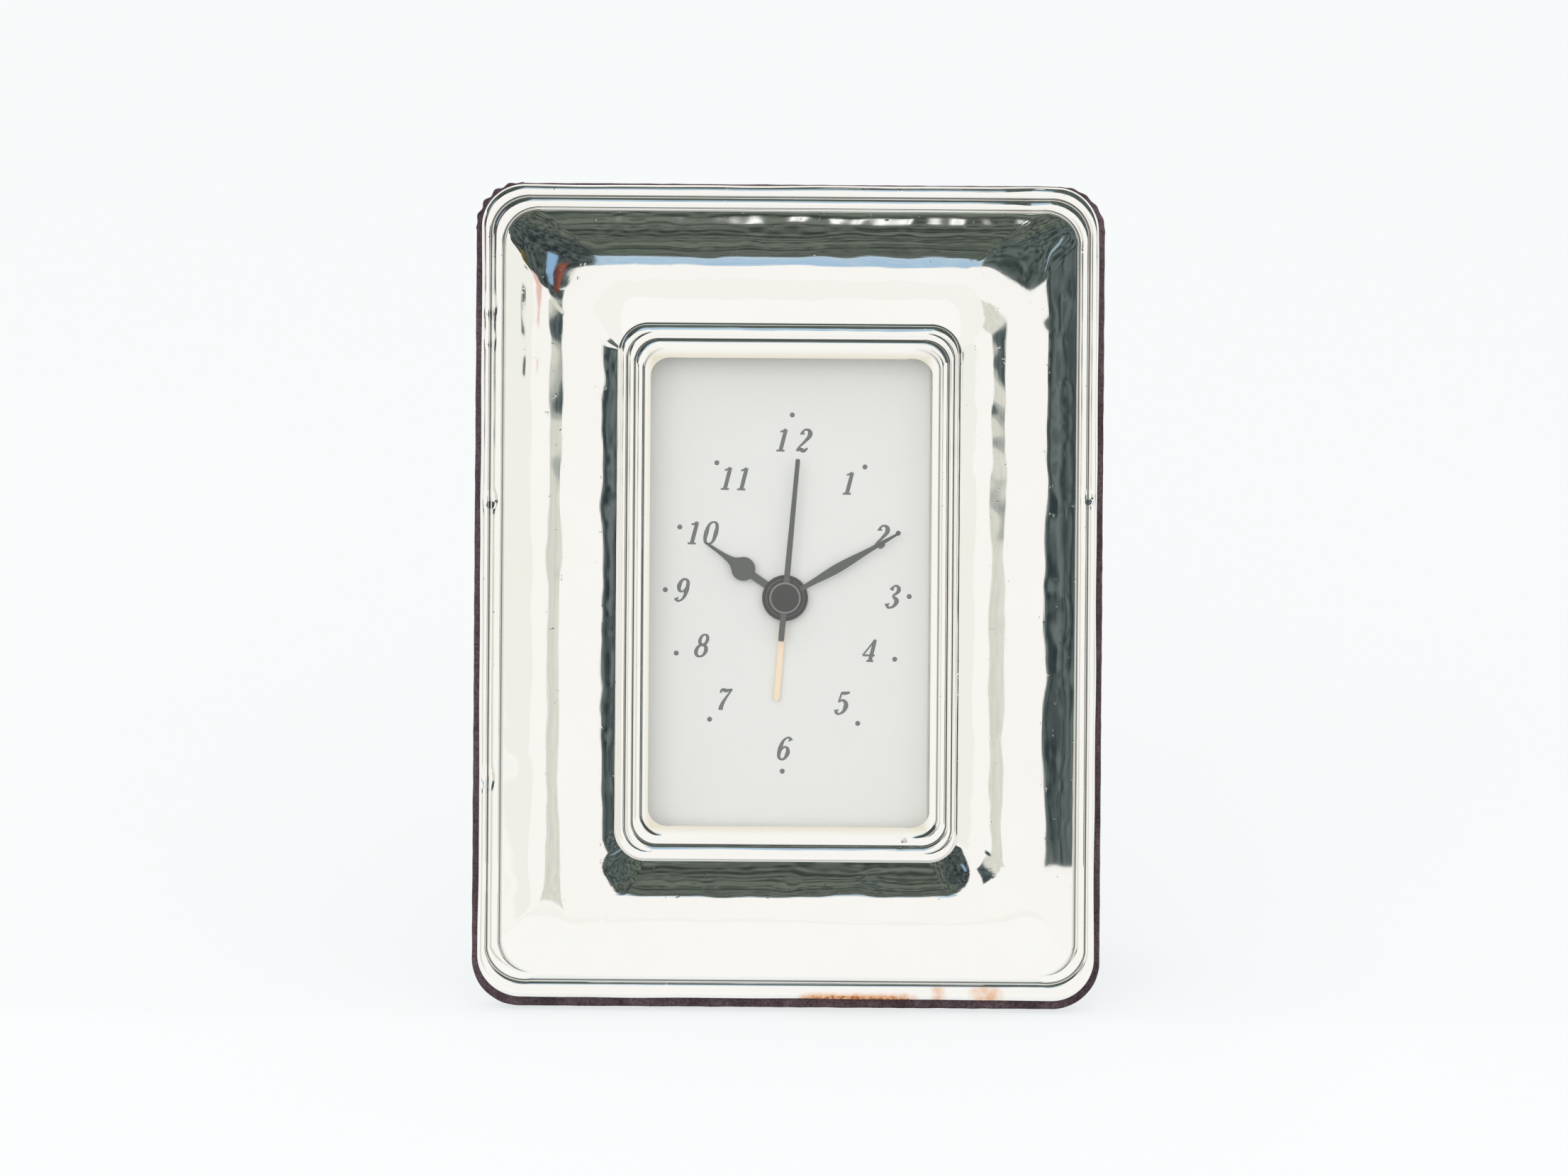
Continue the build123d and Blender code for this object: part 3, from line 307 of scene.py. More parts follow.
# Dark sheets close to the upper corners, and small local ones in front of them
UPPER_RIGHT = {"distance": 0.35, "seen_from": (0.04, 0.115), "grain": 40.0}
UPPER_LEFT = {"distance": 0.35, "seen_from": (-0.04, 0.115), "grain": 40.0}
upright(
    "dark_right_shape", "#667170", (1.5, 58.0), (22.0, 7.6), (50.0, 50.0),
    mottle="#2F3937", **UPPER_RIGHT,
)
upright(
    "dark_left_shape", "#5F6866", (-50.0, -3.5), (10.0, 22.0), (50.0, 50.0),
    mottle="#262E31", **UPPER_LEFT,
)
upright(
    "dark_left_end", "#5F6866", (-72.0, -50.0), (18.0, 10.0), (50.0, 50.0),
    mottle="#262E31", **UPPER_LEFT,
)
for corner in (UPPER_LEFT, UPPER_RIGHT):
    corner.update(distance=0.29, local=True)
upright("pale_slit", "#A9C2D2", (44.0, 55.0), (16.5, 34.0), (19.0, 37.5), **UPPER_RIGHT)
upright("blue_patch", "#8FB4D8", (-28.5, -20.5), (22.0, 22.0), (33.0, 31.0), **UPPER_LEFT)
upright("red_patch", "#99584A", (-20.0, -13.5), (17.5, 16.5), (27.0, 26.5), mottle="#5B3A35", **UPPER_LEFT)
upright("pink_patch", "#E6C0B6", (-52.0, -43.0), (10.5, 8.8), (15.0, 15.0), **UPPER_LEFT)
upright("olive_patch", "#84763F", (-63.0, -55.0), (13.0, 12.0), (21.0, 20.0), mottle="#4E4A33", **UPPER_LEFT)
upright("dark_slit", "#5A6260", (-67.0, -63.5), (4.6, 5.0), (7.0, 6.6), **UPPER_LEFT)
# White paper and cards
CARD = "#FDFCFA"
PAPERS = (("white_paper_near", "#FEFEFD", -0.2, -0.0085), ("cream_paper_far", "#F9F8F5", -3.0, -0.2))
for name, colour, far, near in PAPERS:
    screen(name, colour, [(x, y, 0.001) for x, y in ((-2.0, far), (2.0, far), (2.0, near), (-2.0, near))])
SIDE_CARD = {"distance": 0.055, "seen_from": (0.045, 0.0228)}
upright("white_side_card", CARD, (38.0, 90.0), (-25.0, -25.0), (7.8, -2.0), **SIDE_CARD)
NEAR_CARD = ((-0.032, 0.0203), (0.032, 0.0203), (0.032, 0.025), (-0.032, 0.025))
screen("white_near_card", CARD, [(x, -0.0145, z) for x, z in NEAR_CARD])

# %% [markdown]
# Three broad lamps give the diffuse pieces their shape: one from the upper left as the key, a weaker one from
# the right, and one from the front that reaches into the window. Large lamps make a faint, soft shadow.

# %% Lamps
CLOCK_MIDDLE = Vector((0, 0, 0.06))


def lamp(name, place, size, power):
    """Square soft lamp that looks at the middle of the clock."""
    data = bpy.data.lights.new(name, "AREA")
    data.size = size
    data.energy = power
    made = bpy.data.objects.new(name, data)
    made.location = place
    made.rotation_mode = "QUATERNION"
    made.rotation_quaternion = (CLOCK_MIDDLE - Vector(place)).to_track_quat("-Z", "Y")
    made.visible_glossy = False
    made.visible_transmission = False
    scene.collection.objects.link(made)


lamp("key_lamp", (-0.6, -1.6, 0.75), 1.2, 7.0)
lamp("fill_lamp", (0.7, -1.5, 0.5), 1.2, 4.0)
lamp("front_lamp", (0.0, -1.7, 0.4), 0.8, 3.2)

# %% [markdown]
# Silver plate over copper, on a thin stamped sheet. Polishing gives it a mirror face with a breath of warm
# tarnish, and the hammered sheet bends every reflection. Where the outer bead was rubbed for years, the plate
# is thin and copper shows through. A pattern can't know where that is, so the mesh keeps three values: one
# for that wear, one for a warm, slightly darker tint round the window and one for dark lines along the
# grooves.

# %% Silver plate
silver_plate, tree, shader = new_material("silver_plate", {"Metallic": 1.0})
place = add_node(tree, "ShaderNodeTexCoord").outputs["Object"]
clouds = {"Vector": place, "Scale": per_metre(14.0), "Detail": 6.0, "Roughness": 0.6}
tarnish = add_node(tree, "ShaderNodeTexNoise", clouds).outputs["Fac"]
rub, window_tint, groove_dark = [
    add_node(tree, "ShaderNodeAttribute", attribute_name=mark).outputs["Fac"]
    for mark in ("rub", "window_tint", "groove_dark")
]
speckle = add_node(tree, "ShaderNodeTexNoise", {"Vector": place, "Scale": per_metre(1.6), "Detail": 5.0})
hairy = add_node(tree, "ShaderNodeTexNoise", {"Vector": place, "Scale": per_metre(0.7), "Detail": 4.0})
worn = add_node(tree, "ShaderNodeMath", {0: rub, 1: speckle.outputs["Fac"]}, operation="MULTIPLY")
worn = add_node(tree, "ShaderNodeMapRange", {"Value": worn.outputs[0], "From Min": 0.08, "From Max": 0.36})
burnt = add_node(tree, "ShaderNodeMath", {0: rub, 1: hairy.outputs["Fac"]}, operation="MULTIPLY")
burnt = add_node(tree, "ShaderNodeMapRange", {"Value": burnt.outputs[0], "From Min": 0.36, "From Max": 0.46})
# Each layer covers the one before: tarnish, copper where the plate is thin, copper burnt brown, a warm,
# slightly darker tint round the window, and dark lines along the grooves.
LAYERS = (
    (tarnish, "#F7F6F1"),
    (worn.outputs["Result"], "#E9B68E"),
    (burnt.outputs["Result"], "#B4744A"),
    # Warm, slightly darker tint round the window, mixed into the base colour
    (window_tint, "#E8E3D2"),
    # Dark lines along the grooves, mixed into the base colour
    (groove_dark, "#3B3A36"),
)
colour = linear("#FCFBF9")
for share, tint in LAYERS:
    covered = {"Factor": share, 6: colour, 7: linear(tint)}
    colour = add_node(tree, "ShaderNodeMix", covered, data_type="RGBA").outputs[2]
tree.links.new(colour, shader.inputs["Base Color"])
polish = add_node(tree, "ShaderNodeMapRange", {"Value": tarnish, "To Min": 0.03, "To Max": 0.08})
tree.links.new(polish.outputs["Result"], shader.inputs["Roughness"])
# Polishing cloth leaves hairlines along the rails, about 15 mm long and a few tenths of a millimetre apart.
rail_map = add_node(tree, "ShaderNodeUVMap", uv_map="rail").outputs["UV"]
drawn_out = add_node(tree, "ShaderNodeVectorMath", {0: rail_map, 1: (30.0, 260.0, 1.0)}, operation="MULTIPLY")
lines = {"Vector": drawn_out.outputs["Vector"], "Scale": 1.0, "Detail": 4.0}
hairlines = add_node(tree, "ShaderNodeTexNoise", lines).outputs["Fac"]
# Here and there a grain of grit has left a pit, which catches the light in the dark bands.
grit = add_node(tree, "ShaderNodeTexNoise", {"Vector": place, "Scale": per_metre(1.1), "Detail": 2.0})
deepest = {"Value": grit.outputs["Fac"], "From Min": 0.69, "From Max": 0.78, "To Max": 4.0}
pits = add_node(tree, "ShaderNodeMapRange", deepest).outputs["Result"]
marks = add_node(tree, "ShaderNodeMath", {0: hairlines, 1: pits}, operation="ADD").outputs[0]
scratched = add_node(tree, "ShaderNodeBump", {"Height": marks, "Strength": 0.5, "Distance": 0.005 * MM})
tree.links.new(scratched.outputs["Normal"], shader.inputs["Normal"])
print(silver_plate.name)

# %% [markdown]
# The silver front is one sheet pressed over a form: beads at its edges, a broad cushion between them and a
# bevel at the window. It could be lofted, but its corners tighten from the outside to the window. So a flat
# grid is rolled round the frame instead: one way of the grid goes round the rounded rectangle, the other
# across the rail and back underneath, and both ends are merged.

# %% Rounded rectangles
SIDE_STEPS = (170, 125, 170, 125)
CORNER_STEPS = 36
ring_steps = []
for quarter, steps in enumerate(SIDE_STEPS):
    ring_steps += [(quarter, step / steps) for step in range(steps)]
    ring_steps += [(quarter, 1 + step / CORNER_STEPS) for step in range(CORNER_STEPS)]


def ring_point(step, size, corner):
    """Point at a step round a rounded rectangle, counter-clockwise from the foot of its right side."""
    quarter, along = ring_steps[step % len(ring_steps)]
    reach, half = (size[0] / 2, size[1] / 2) if quarter % 2 == 0 else (size[1] / 2, size[0] / 2)
    if along < 1:
        point = Vector((reach, (2 * along - 1) * (half - corner)))
    else:
        angle = (along - 1) * math.pi / 2
        point = Vector((reach - corner + corner * math.cos(angle), half - corner + corner * math.sin(angle)))
    return Matrix.Rotation(quarter * math.pi / 2, 2) @ point


def rolled_grid(rings, point_at, mark_name="", mark_at=None):
    """Grid rolled into a closed ring, with a UV map along and across it.

    point_at gives each point its place, and mark_at a value that is kept on the mesh under mark_name.
    """
    bm = bmesh.new()
    steps = len(ring_steps)
    bmesh.ops.create_grid(bm, x_segments=steps, y_segments=rings, size=0.5)
    rail_uv = bm.loops.layers.uv.new("rail")
    for loop in [loop for quad in bm.faces for loop in quad.loops]:
        loop[rail_uv].uv = loop.vert.co.xy + Vector((0.5, 0.5))
    mark = bm.verts.layers.float.new(mark_name) if mark_at else None
    for vert in bm.verts:
        step = round((vert.co.x + 0.5) * steps) % steps
        ring = round((vert.co.y + 0.5) * rings) % rings
        vert.co = point_at(step, ring)
        if mark_at:
            vert[mark] = mark_at(step, ring)
    bmesh.ops.remove_doubles(bm, verts=bm.verts, dist=1e-5)
    bmesh.ops.recalc_face_normals(bm, faces=bm.faces)
    return bm


def finish_piece(bm, name, body, material, slot, *nodes, sharp=None):
    """Writes a bmesh in metres to an object that rides on a body and stands for solids.

    Where an angle in degrees is given, edges that turn by more than that stay sharp.
    """
    mesh = bpy.data.meshes.new(name)
    bm.to_mesh(mesh)
    bm.free()
    mesh.shade_smooth()
    if sharp:
        mesh.set_sharp_from_angle(angle=math.radians(sharp))
    mesh.materials.append(material)
    piece = bpy.data.objects.new(name, mesh)
    scene.collection.objects.link(piece)
    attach(piece, body)
    if nodes:
        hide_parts(*nodes)
    print(name, len(mesh.polygons), "faces")
    return piece


print("steps round the frame", len(ring_steps))

# %% [markdown]
# The section of the rail is a list of insets from the silver's edge and heights above its back. The beads
# have low crowns and quick sides, and the cushion is a parabola on a sloping chord. The hand-hammered sheet
# isn't true: slow waves of a few hundredths of a millimetre make the edges of the reflections ragged.

# %% Section of the silver rail
RAIL = 27.4
OUTER_BEADS = (1.65, 1.85)
OUTER_GROOVE = 1.95
INNER_BEADS = ((1.25, 0.5), (1.05, 0.35), (1.5, 0.55))
INNER_GROOVE = 3.7
CUSHION_INSET = 3.9
CUSHION_WIDTH = 18.2
# Height of the cushion's foot, how much higher its heel is, and four times the rise of its crown
CUSHION_FOOT, CUSHION_TILT, CUSHION_BULGE = 2.6, 0.9, 14.0
BEAD_POINTS = 12
CUSHION_POINTS = 44
WINDOW_EDGE = 3.3
SHEET = 0.5
SILVER_CORNER = 6.7
# Corner radius at each inset: tight at the beads, fuller on the cushion's crown
CORNERS = ((0.0, SILVER_CORNER), (3.9, 5.4), (12.5, 7.6), (18.0, 6.4), (22.1, 4.4), (RAIL, 3.0))


def stepped(stops, value):
    """Value between stops of (place, value), in straight runs."""
    for (low, first), (high, second) in zip(stops, stops[1:]):
        if value <= high:
            return first + (second - first) * (value - low) / (high - low)
    return stops[-1][1]


def bead_steps(inset, base, beads):
    """Points across a row of beads, each with a low crown and quick sides, so grooves show as fine lines."""
    points = []
    for width, rise in beads:
        for step in range(1, BEAD_POINTS + 1):
            side = math.cos(math.pi * step / BEAD_POINTS)
            crown = 0.75 * (1 - abs(side) ** 6) + 0.25 * (1 - side**2)
            points.append((inset + width * (1 - side) / 2, base + rise * crown))
        inset += width
    return points


def cushion_height(inset):
    """Height of the broad cushion of the rail."""
    share = (inset - CUSHION_INSET) / CUSHION_WIDTH
    return CUSHION_FOOT + CUSHION_TILT * share + CUSHION_BULGE * share * (1 - share)


# The outermost bead starts with a steep chamfer, so only its groove shows as a line.
section = [(0.0, 0.0), (0.0, 0.7), (0.0, 1.4), (0.0, 2.0), (0.05, 2.1), (0.35, 2.42), (0.38, 2.44)]
section += [(0.6, 2.47), (0.9, 2.48), (1.2, 2.47), (1.42, 2.4), (1.52, 2.25), (1.6, 2.05)]
section += [(OUTER_BEADS[0], OUTER_GROOVE)]
section += bead_steps(OUTER_BEADS[0], OUTER_GROOVE, [(OUTER_BEADS[1], 0.5)])
foot = sum(OUTER_BEADS)
heel = CUSHION_INSET + CUSHION_WIDTH
rise = foot + 0.05
cushion_insets = [rise + (heel - rise) * step / CUSHION_POINTS for step in range(CUSHION_POINTS + 1)]
section += [(inset, cushion_height(inset)) for inset in cushion_insets]
section += bead_steps(heel, INNER_GROOVE, INNER_BEADS)
bevel_start = heel + sum(width for width, rise in INNER_BEADS)
section += [(bevel_start + (RAIL - bevel_start) * s / 5, INNER_GROOVE - 0.01 * s) for s in range(1, 6)]
section += [(RAIL, WINDOW_EDGE), (RAIL, WINDOW_EDGE - SHEET), (heel, WINDOW_EDGE - SHEET)]
section += [(inset, cushion_height(inset) - SHEET) for inset in reversed(cushion_insets[4:-2:8])]
section += [(foot, OUTER_GROOVE - SHEET), (SHEET, OUTER_GROOVE - SHEET), (SHEET, 0.0)]
front_points = section.index((RAIL, WINDOW_EDGE))
# On the level rails: the groove after the joined bead, that bead's rise, and the bevel's rise and fall
LEVEL_GROOVE = 24.4
LEVEL_BEAD = 0.42
LEVEL_BEVEL = (0.2, 0.12)
FOOT_END = 5.0


def level_height(point, inset, height):
    """Height on the top and bottom rails, where the inner beads run together into one."""
    if point >= front_points or inset <= heel:
        return height
    if inset <= LEVEL_GROOVE:
        side = 2 * (inset - heel) / (LEVEL_GROOVE - heel) - 1
        return INNER_GROOVE + LEVEL_BEAD * (0.6 * (1 - abs(side) ** 8) + 0.4 * (1 - side**2))
    share = (inset - LEVEL_GROOVE) / (RAIL - LEVEL_GROOVE)
    return INNER_GROOVE + LEVEL_BEVEL[0] * min(1.0, share * 7) - LEVEL_BEVEL[1] * share


def foot_height(point, inset, height):
    """Height on the bottom rail, where the second outer bead has sunk into the cushion."""
    if point >= front_points or not OUTER_BEADS[0] < inset < FOOT_END:
        return height
    share = (inset - OUTER_BEADS[0]) / (FOOT_END - OUTER_BEADS[0])
    return OUTER_GROOVE + (cushion_height(FOOT_END) - OUTER_GROOVE) * share**0.8


section = [
    (inset, height, level_height(point, inset, height), foot_height(point, inset, height))
    for point, (inset, height) in enumerate(section)
]
print("points in the section", len(section))

# %% [markdown]
# A real stamping differs from a drawn one. Its die sat off centre, so the grooves lie at other insets on
# each side. It was hammered and later knocked, and years of use wore the plate off the lowest bead. The
# points of the sheet take the die, the hammering and the knocks; values kept on the mesh take the wear, dark
# lines along the grooves and a warm tint round the window.

# %% Traces of making and use
# Knocks: place on the face in millimetres, reach and depth
KNOCKS = (
    ((-47.9, 111.0), 1.2, 0.14),
    ((-47.8, 105.9), 0.8, 0.12),
    ((-47.4, 80.6), 1.0, 0.3),
    ((-48.0, 36.3), 1.3, 0.32),
    ((47.7, 81.6), 0.8, 0.3),
    ((38.1, 128.9), 2.2, 0.16),
    ((-44.0, 36.0), 3.0, 0.06),
    ((18.0, 26.8), 0.8, 0.2),
)
# Squared distance, in reaches, past which a knock is too shallow to count
KNOCK_END = 6
# Grooves drawn as dark lines: inset and how dark, on the upright rails and on the level ones
DARK_GROOVES = (
    ((1.65, 0.5), (3.5, 0.4), (23.35, 0.5), (24.4, 0.55), (25.9, 0.75)),
    ((1.65, 0.45), (22.1, 0.2), (24.4, 0.8)),
)
GROOVE_DARK_REACH = 0.16
# Worn places on the lowest bead: from and to along the edge, top on the face and how far they are worn.
# They fade along the edge and up from it, a little over that top.
RUBBED = ((1.0, 22.0, 2.5, 0.95), (22.0, 26.5, 4.4, 0.75), (28.0, 36.0, 4.0, 0.55))
RUB_FADE = (3.0, 1.2)
RUB_OVER = 0.4
# How far the warm, slightly darker tint reaches from the window
WINDOW_TINT_REACH = 1.3
# Insets of the outer grooves, and of the inner grooves and window, on the right, top, left and bottom rails
GROOVES = ((1.45, 3.1), (1.85, 3.75), (1.4, 3.45), (2.75, 3.9))
INNER_GROOVES = (
    (22.85, 23.7, 25.15, 26.3),
    (23.35, 24.4, 25.9, 27.4),
    (23.2, 24.4, 25.9, 26.9),
    (23.35, 24.5, 25.9, 27.4),
)
CENTRED_GROOVES = (23.35, 24.4, 25.9, RAIL)
# Waves in millimetres: height, length across the rail and along it, and their slice of the noise
CUSHION_WAVES = ((0.078, 4.5, 9.0, 3.1), (0.027, 2.4, 4.2, 7.7))
FLANK_WAVE = (0.045, 4.0, 3.5, 17.7)
BEAD_WAVE = (0.03, 5.0, 5.0, 12.4)
EDGE_STRAY = (0.14, 11.0, 11.0, 21.3)
# How far in the edge strays, and half sizes of the face that it stretches
EDGE_WIDTH = 1.5
HALF_FACE = (49.0, 64.0)
# Insets between which the cushion's waves swell, its crown, and how fast waves fade in
SWELL = (2.5, 24.0)
CROWN = 13.0
FADE = 3.0


def between_sides(step, values):
    """Values at a step from a row of them for each side, shared round the corners."""
    quarter, along = ring_steps[step]
    turn = max(0.0, along - 1)
    return [a + (b - a) * turn for a, b in zip(values[quarter], values[(quarter + 1) % 4])]


def drift(step, inset):
    """Inset after the off-centre die has moved the grooves."""
    first, second = between_sides(step, GROOVES)
    stops = [(0.0, 0.0), (OUTER_BEADS[0], first), (foot, second), (7.0, 7.0), (heel, heel)]
    stops += list(zip(CENTRED_GROOVES, between_sides(step, INNER_GROOVES)))
    return stepped(stops, inset)


def rippled(wave, across, along):
    """Height of a wave at a place."""
    height, wide, long, part = wave
    return height * noise.noise((across / wide, along / long, part))


print("knocks", len(KNOCKS), "worn places", len(RUBBED))


# %% The silver front
def silver_point(step, ring):
    """Place of a point of the sheet on the face, with its hammer waves and knocks."""
    inset, height, level, low = section[ring]
    level_share, foot_share = between_sides(step, ((0.0, 0.0), (1.0, 0.0), (0.0, 0.0), (1.0, 1.0)))
    height += (level - height) * level_share + (low - height) * foot_share
    inset = drift(step, inset)
    x, y = ring_point(step, [size - 2 * inset for size in SILVER_SIZE], stepped(CORNERS, inset))
    y += SILVER_Y
    stray = rippled(EDGE_STRAY, x, y) * max(0.0, 1 - inset / EDGE_WIDTH)
    x, y = x * (1 + stray / HALF_FACE[0]), SILVER_Y + (y - SILVER_Y) * (1 + stray / HALF_FACE[1])
    across, along = (x, y) if ring_steps[step][0] % 2 == 0 else (y, x)
    swell = max(0.0, min((inset - SWELL[0]) / FADE, (SWELL[1] - inset) / FADE, 1.0))
    # Both flanks of the cushion have shorter waves than its crown.
    flank = max(0.0, min(1.0, abs(inset - CROWN) / FADE - 0.5))
    ripple = sum(rippled(wave, across, along) for wave in CUSHION_WAVES)
    ripple += flank * rippled(FLANK_WAVE, across, along)
    height += swell * ripple + (1 - swell) * rippled(BEAD_WAVE, x, y)
    for (knock_x, knock_y), reach, depth in KNOCKS:
        away = ((x - knock_x) ** 2 + (y - knock_y) ** 2) / reach**2
        if away < KNOCK_END:
            height -= depth * math.exp(-away)
    return Vector((x, y, FRONT_BASE + height))


def groove_dark_at(step, ring):
    """How dark the line along a groove is at a point of the sheet."""
    inset = section[ring][0]
    if ring >= front_points:
        return 0.0
    on_upright, on_level = [
        max(black * max(0.0, 1 - abs(inset - groove) / GROOVE_DARK_REACH) for groove, black in rail)
        for rail in DARK_GROOVES
    ]
    return on_upright + (on_level - on_upright) * between_sides(step, ((0.0,), (1.0,), (0.0,), (1.0,)))[0]


bm = rolled_grid(len(section), silver_point, "groove_dark", groove_dark_at)
rub_layer = bm.verts.layers.float.new("rub")
window_tint_layer = bm.verts.layers.float.new("window_tint")
for vert in bm.verts:
    x, y = vert.co.xy
    for start, end, top, worn in RUBBED:
        along = min((x - start) / RUB_FADE[0], (end - x) / RUB_FADE[0], 1.0)
        across = min((top + RUB_OVER - y) / RUB_FADE[1], 1.0)
        vert[rub_layer] = max(vert[rub_layer], worn * max(0.0, along) * max(0.0, across))
    to_window = max(abs(x) - SILVER_SIZE[0] / 2 + RAIL, abs(y - SILVER_Y) - SILVER_SIZE[1] / 2 + RAIL)
    # Warm, slightly darker tint that fades out close to the window
    vert[window_tint_layer] = max(0.0, 1 - to_window / WINDOW_TINT_REACH)
bmesh.ops.transform(bm, matrix=face, verts=bm.verts)
finish_piece(bm, "silver_sheet", "frame", silver_plate, "silver", "silver_front", sharp=65.0)

# %% [markdown]
# Dark aubergine velvet is glued round the board at the back and shows as a thin rim beside the silver. Its
# pile is short, so it drinks light face-on and glows at a glancing angle, which is what sheen gives. The
# pile lies in soft patches, and a fine grain of tufts breaks up the edge.

# %% Velvet
velvet, tree, shader = new_material(
    "cotton_velvet",
    {"Roughness": 0.95, "Specular IOR Level": 0.15, "Sheen Weight": 0.8, "Sheen Roughness": 0.4,
     "Sheen Tint": linear("#A08C96")},
)
place = add_node(tree, "ShaderNodeTexCoord").outputs["Object"]
# The pile was stroked downwards, so its patches are longer than they are wide.
stroked = add_node(tree, "ShaderNodeVectorMath", {0: place, 1: (1.0, 1.0, 0.35)}, operation="MULTIPLY")
patches = {"Vector": stroked.outputs["Vector"], "Scale": per_metre(5.0), "Detail": 4.0}
brushed = add_node(tree, "ShaderNodeTexNoise", patches).outputs["Fac"]
# The real tufts are 0.15 mm apart; they are drawn three times as coarse, so that they show.
tufts = add_node(tree, "ShaderNodeTexNoise", {"Vector": place, "Scale": per_metre(0.45), "Detail": 2.0})
tufts = tufts.outputs["Fac"]
nap = add_node(tree, "ShaderNodeMath", {0: brushed, 1: tufts}, operation="MULTIPLY").outputs[0]
nap = add_node(tree, "ShaderNodeMapRange", {"Value": nap, "From Min": 0.06, "From Max": 0.44})
shades = {"Factor": nap.outputs["Result"], 6: linear("#2F2428"), 7: linear("#75646A")}
pile = add_node(tree, "ShaderNodeMix", shades, data_type="RGBA")
tree.links.new(pile.outputs[2], shader.inputs["Base Color"])
fuzz = add_node(tree, "ShaderNodeBump", {"Height": tufts, "Strength": 0.8, "Distance": 0.25 * MM})
tree.links.new(fuzz.outputs["Normal"], shader.inputs["Normal"])
print(velvet.name)

# %% [markdown]
# The velvet is one skin: it starts under the silver's edge, rounds the side of the board, crosses the back
# and ends in the opening for the clock's case. The same rolled grid makes it, with a list of rings from the
# front to the opening and back inside. The cloth is gathered at the two top corners, so little pleats stand
# out there, and it is flat where the frame stands.

# %% Velvet cover
OPENING_SIZE = (58.6, 57.6)
OPENING_CENTRE = Vector((HUB[0], HUB[1] - 2.0))
SKIN = 0.7
EDGE = ((0.28, 5.42), (0.14, 5.3), (0.04, 5.0), (0.0, 4.5), (0.0, 3.6), (0.0, 2.7), (0.0, 1.8), (0.0, 1.0),
        (0.06, 0.5), (0.22, 0.16), (0.5, 0.02), (0.8, 0.0))
BACK = (0.05, 0.15, 0.3, 0.5, 0.7, 0.85, 0.95, 0.99, 1.0)
# Depth of the pleats at the right and left top corners, and how many folds go round each
PLEAT_DEPTHS = (0.1, 0.23)
FOLDS = 5
# Height of the fuzz and how far apart its tufts stand
FUZZ = (0.07, 2.6)
velvet_rings = [("silver", 0.5, FRONT_BASE - 0.02), ("silver", 0.1, FRONT_BASE)]
velvet_rings += [("edge", inset, depth) for inset, depth in EDGE]
velvet_rings += [("back", share, 0.0) for share in BACK]
velvet_rings += [("back", 1.0, SKIN / 2), ("back", 1.0, SKIN), ("back", 0.5, SKIN)]
velvet_rings += [("edge", SKIN, SKIN), ("edge", SKIN, FRONT_BASE - SKIN), ("silver", 0.5, FRONT_BASE - SKIN)]


def velvet_point(step, ring):
    """Place of a point of the velvet on the face."""
    kind, value, depth = velvet_rings[ring]
    quarter, along = ring_steps[step]
    if kind == "silver":
        point = ring_point(step, [size - 2 * value for size in SILVER_SIZE], SILVER_CORNER - value)
        return Vector((point.x, point.y + SILVER_Y, depth))
    inset = value if kind == "edge" else EDGE[-1][0]
    point = ring_point(step, [size - 2 * inset for size in VELVET_SIZE], VELVET_CORNER - inset)
    outward = Matrix.Rotation((quarter + max(0.0, along - 1)) * math.pi / 2, 2) @ Vector((1, 0))
    point.y += VELVET_SIZE[1] / 2
    if kind == "back":
        hole = ring_point(step, OPENING_SIZE, 1.0) + OPENING_CENTRE
        return Vector((*point.lerp(hole, value), depth))
    pleat = 0.0
    if along > 1 and quarter < len(PLEAT_DEPTHS):
        turn = (along - 1) * math.pi
        pleat = PLEAT_DEPTHS[quarter] * math.sin(turn) ** 0.5 * (1 + math.cos(2 * FOLDS * turn))
    height, length = FUZZ
    point += outward * (pleat + height * noise.noise((point.x / length, point.y / length, depth / length)))
    return Vector((point.x, point.y, depth))


def stand_flat(bm):
    """Flattens what would sink below the table."""
    for vert in bm.verts:
        vert.co.z = max(vert.co.z, 0.0)


bm = rolled_grid(len(velvet_rings), velvet_point)
bmesh.ops.transform(bm, matrix=face, verts=bm.verts)
stand_flat(bm)
cover = finish_piece(bm, "velvet_skin", "frame", velvet, "velvet", "velvet_cover")

# %% [markdown]
# The strut is a card blade in the same velvet, narrow at its hinge and wider at its foot. A cube has its long
# edges rounded, as cloth rounds over card. It is cut across many times, and then stretched and tapered.

# %% Velvet of the strut
STRUT_LEAN = LEAN - math.radians(20.0)
STRUT_HINGE = face @ Vector((38.5, 98.0, -1.5))
STRUT_TOP = -2.5
STRUT_END = -96.7
STRUT_WIDTHS = (12.0, 16.0)
STRUT_DEPTH = (-2.5, 0.5)
STRUT_FUZZ = (0.06, 3.0)
# Millimetres that one unit of the bevel becomes across the width
ROUND_SCALE = 10.0


def long_edges(bm):
    """Edges that run along the blade while it is still a unit cube."""
    return [edge for edge in bm.edges if abs(edge.verts[0].co.y - edge.verts[1].co.y) > 0.5]


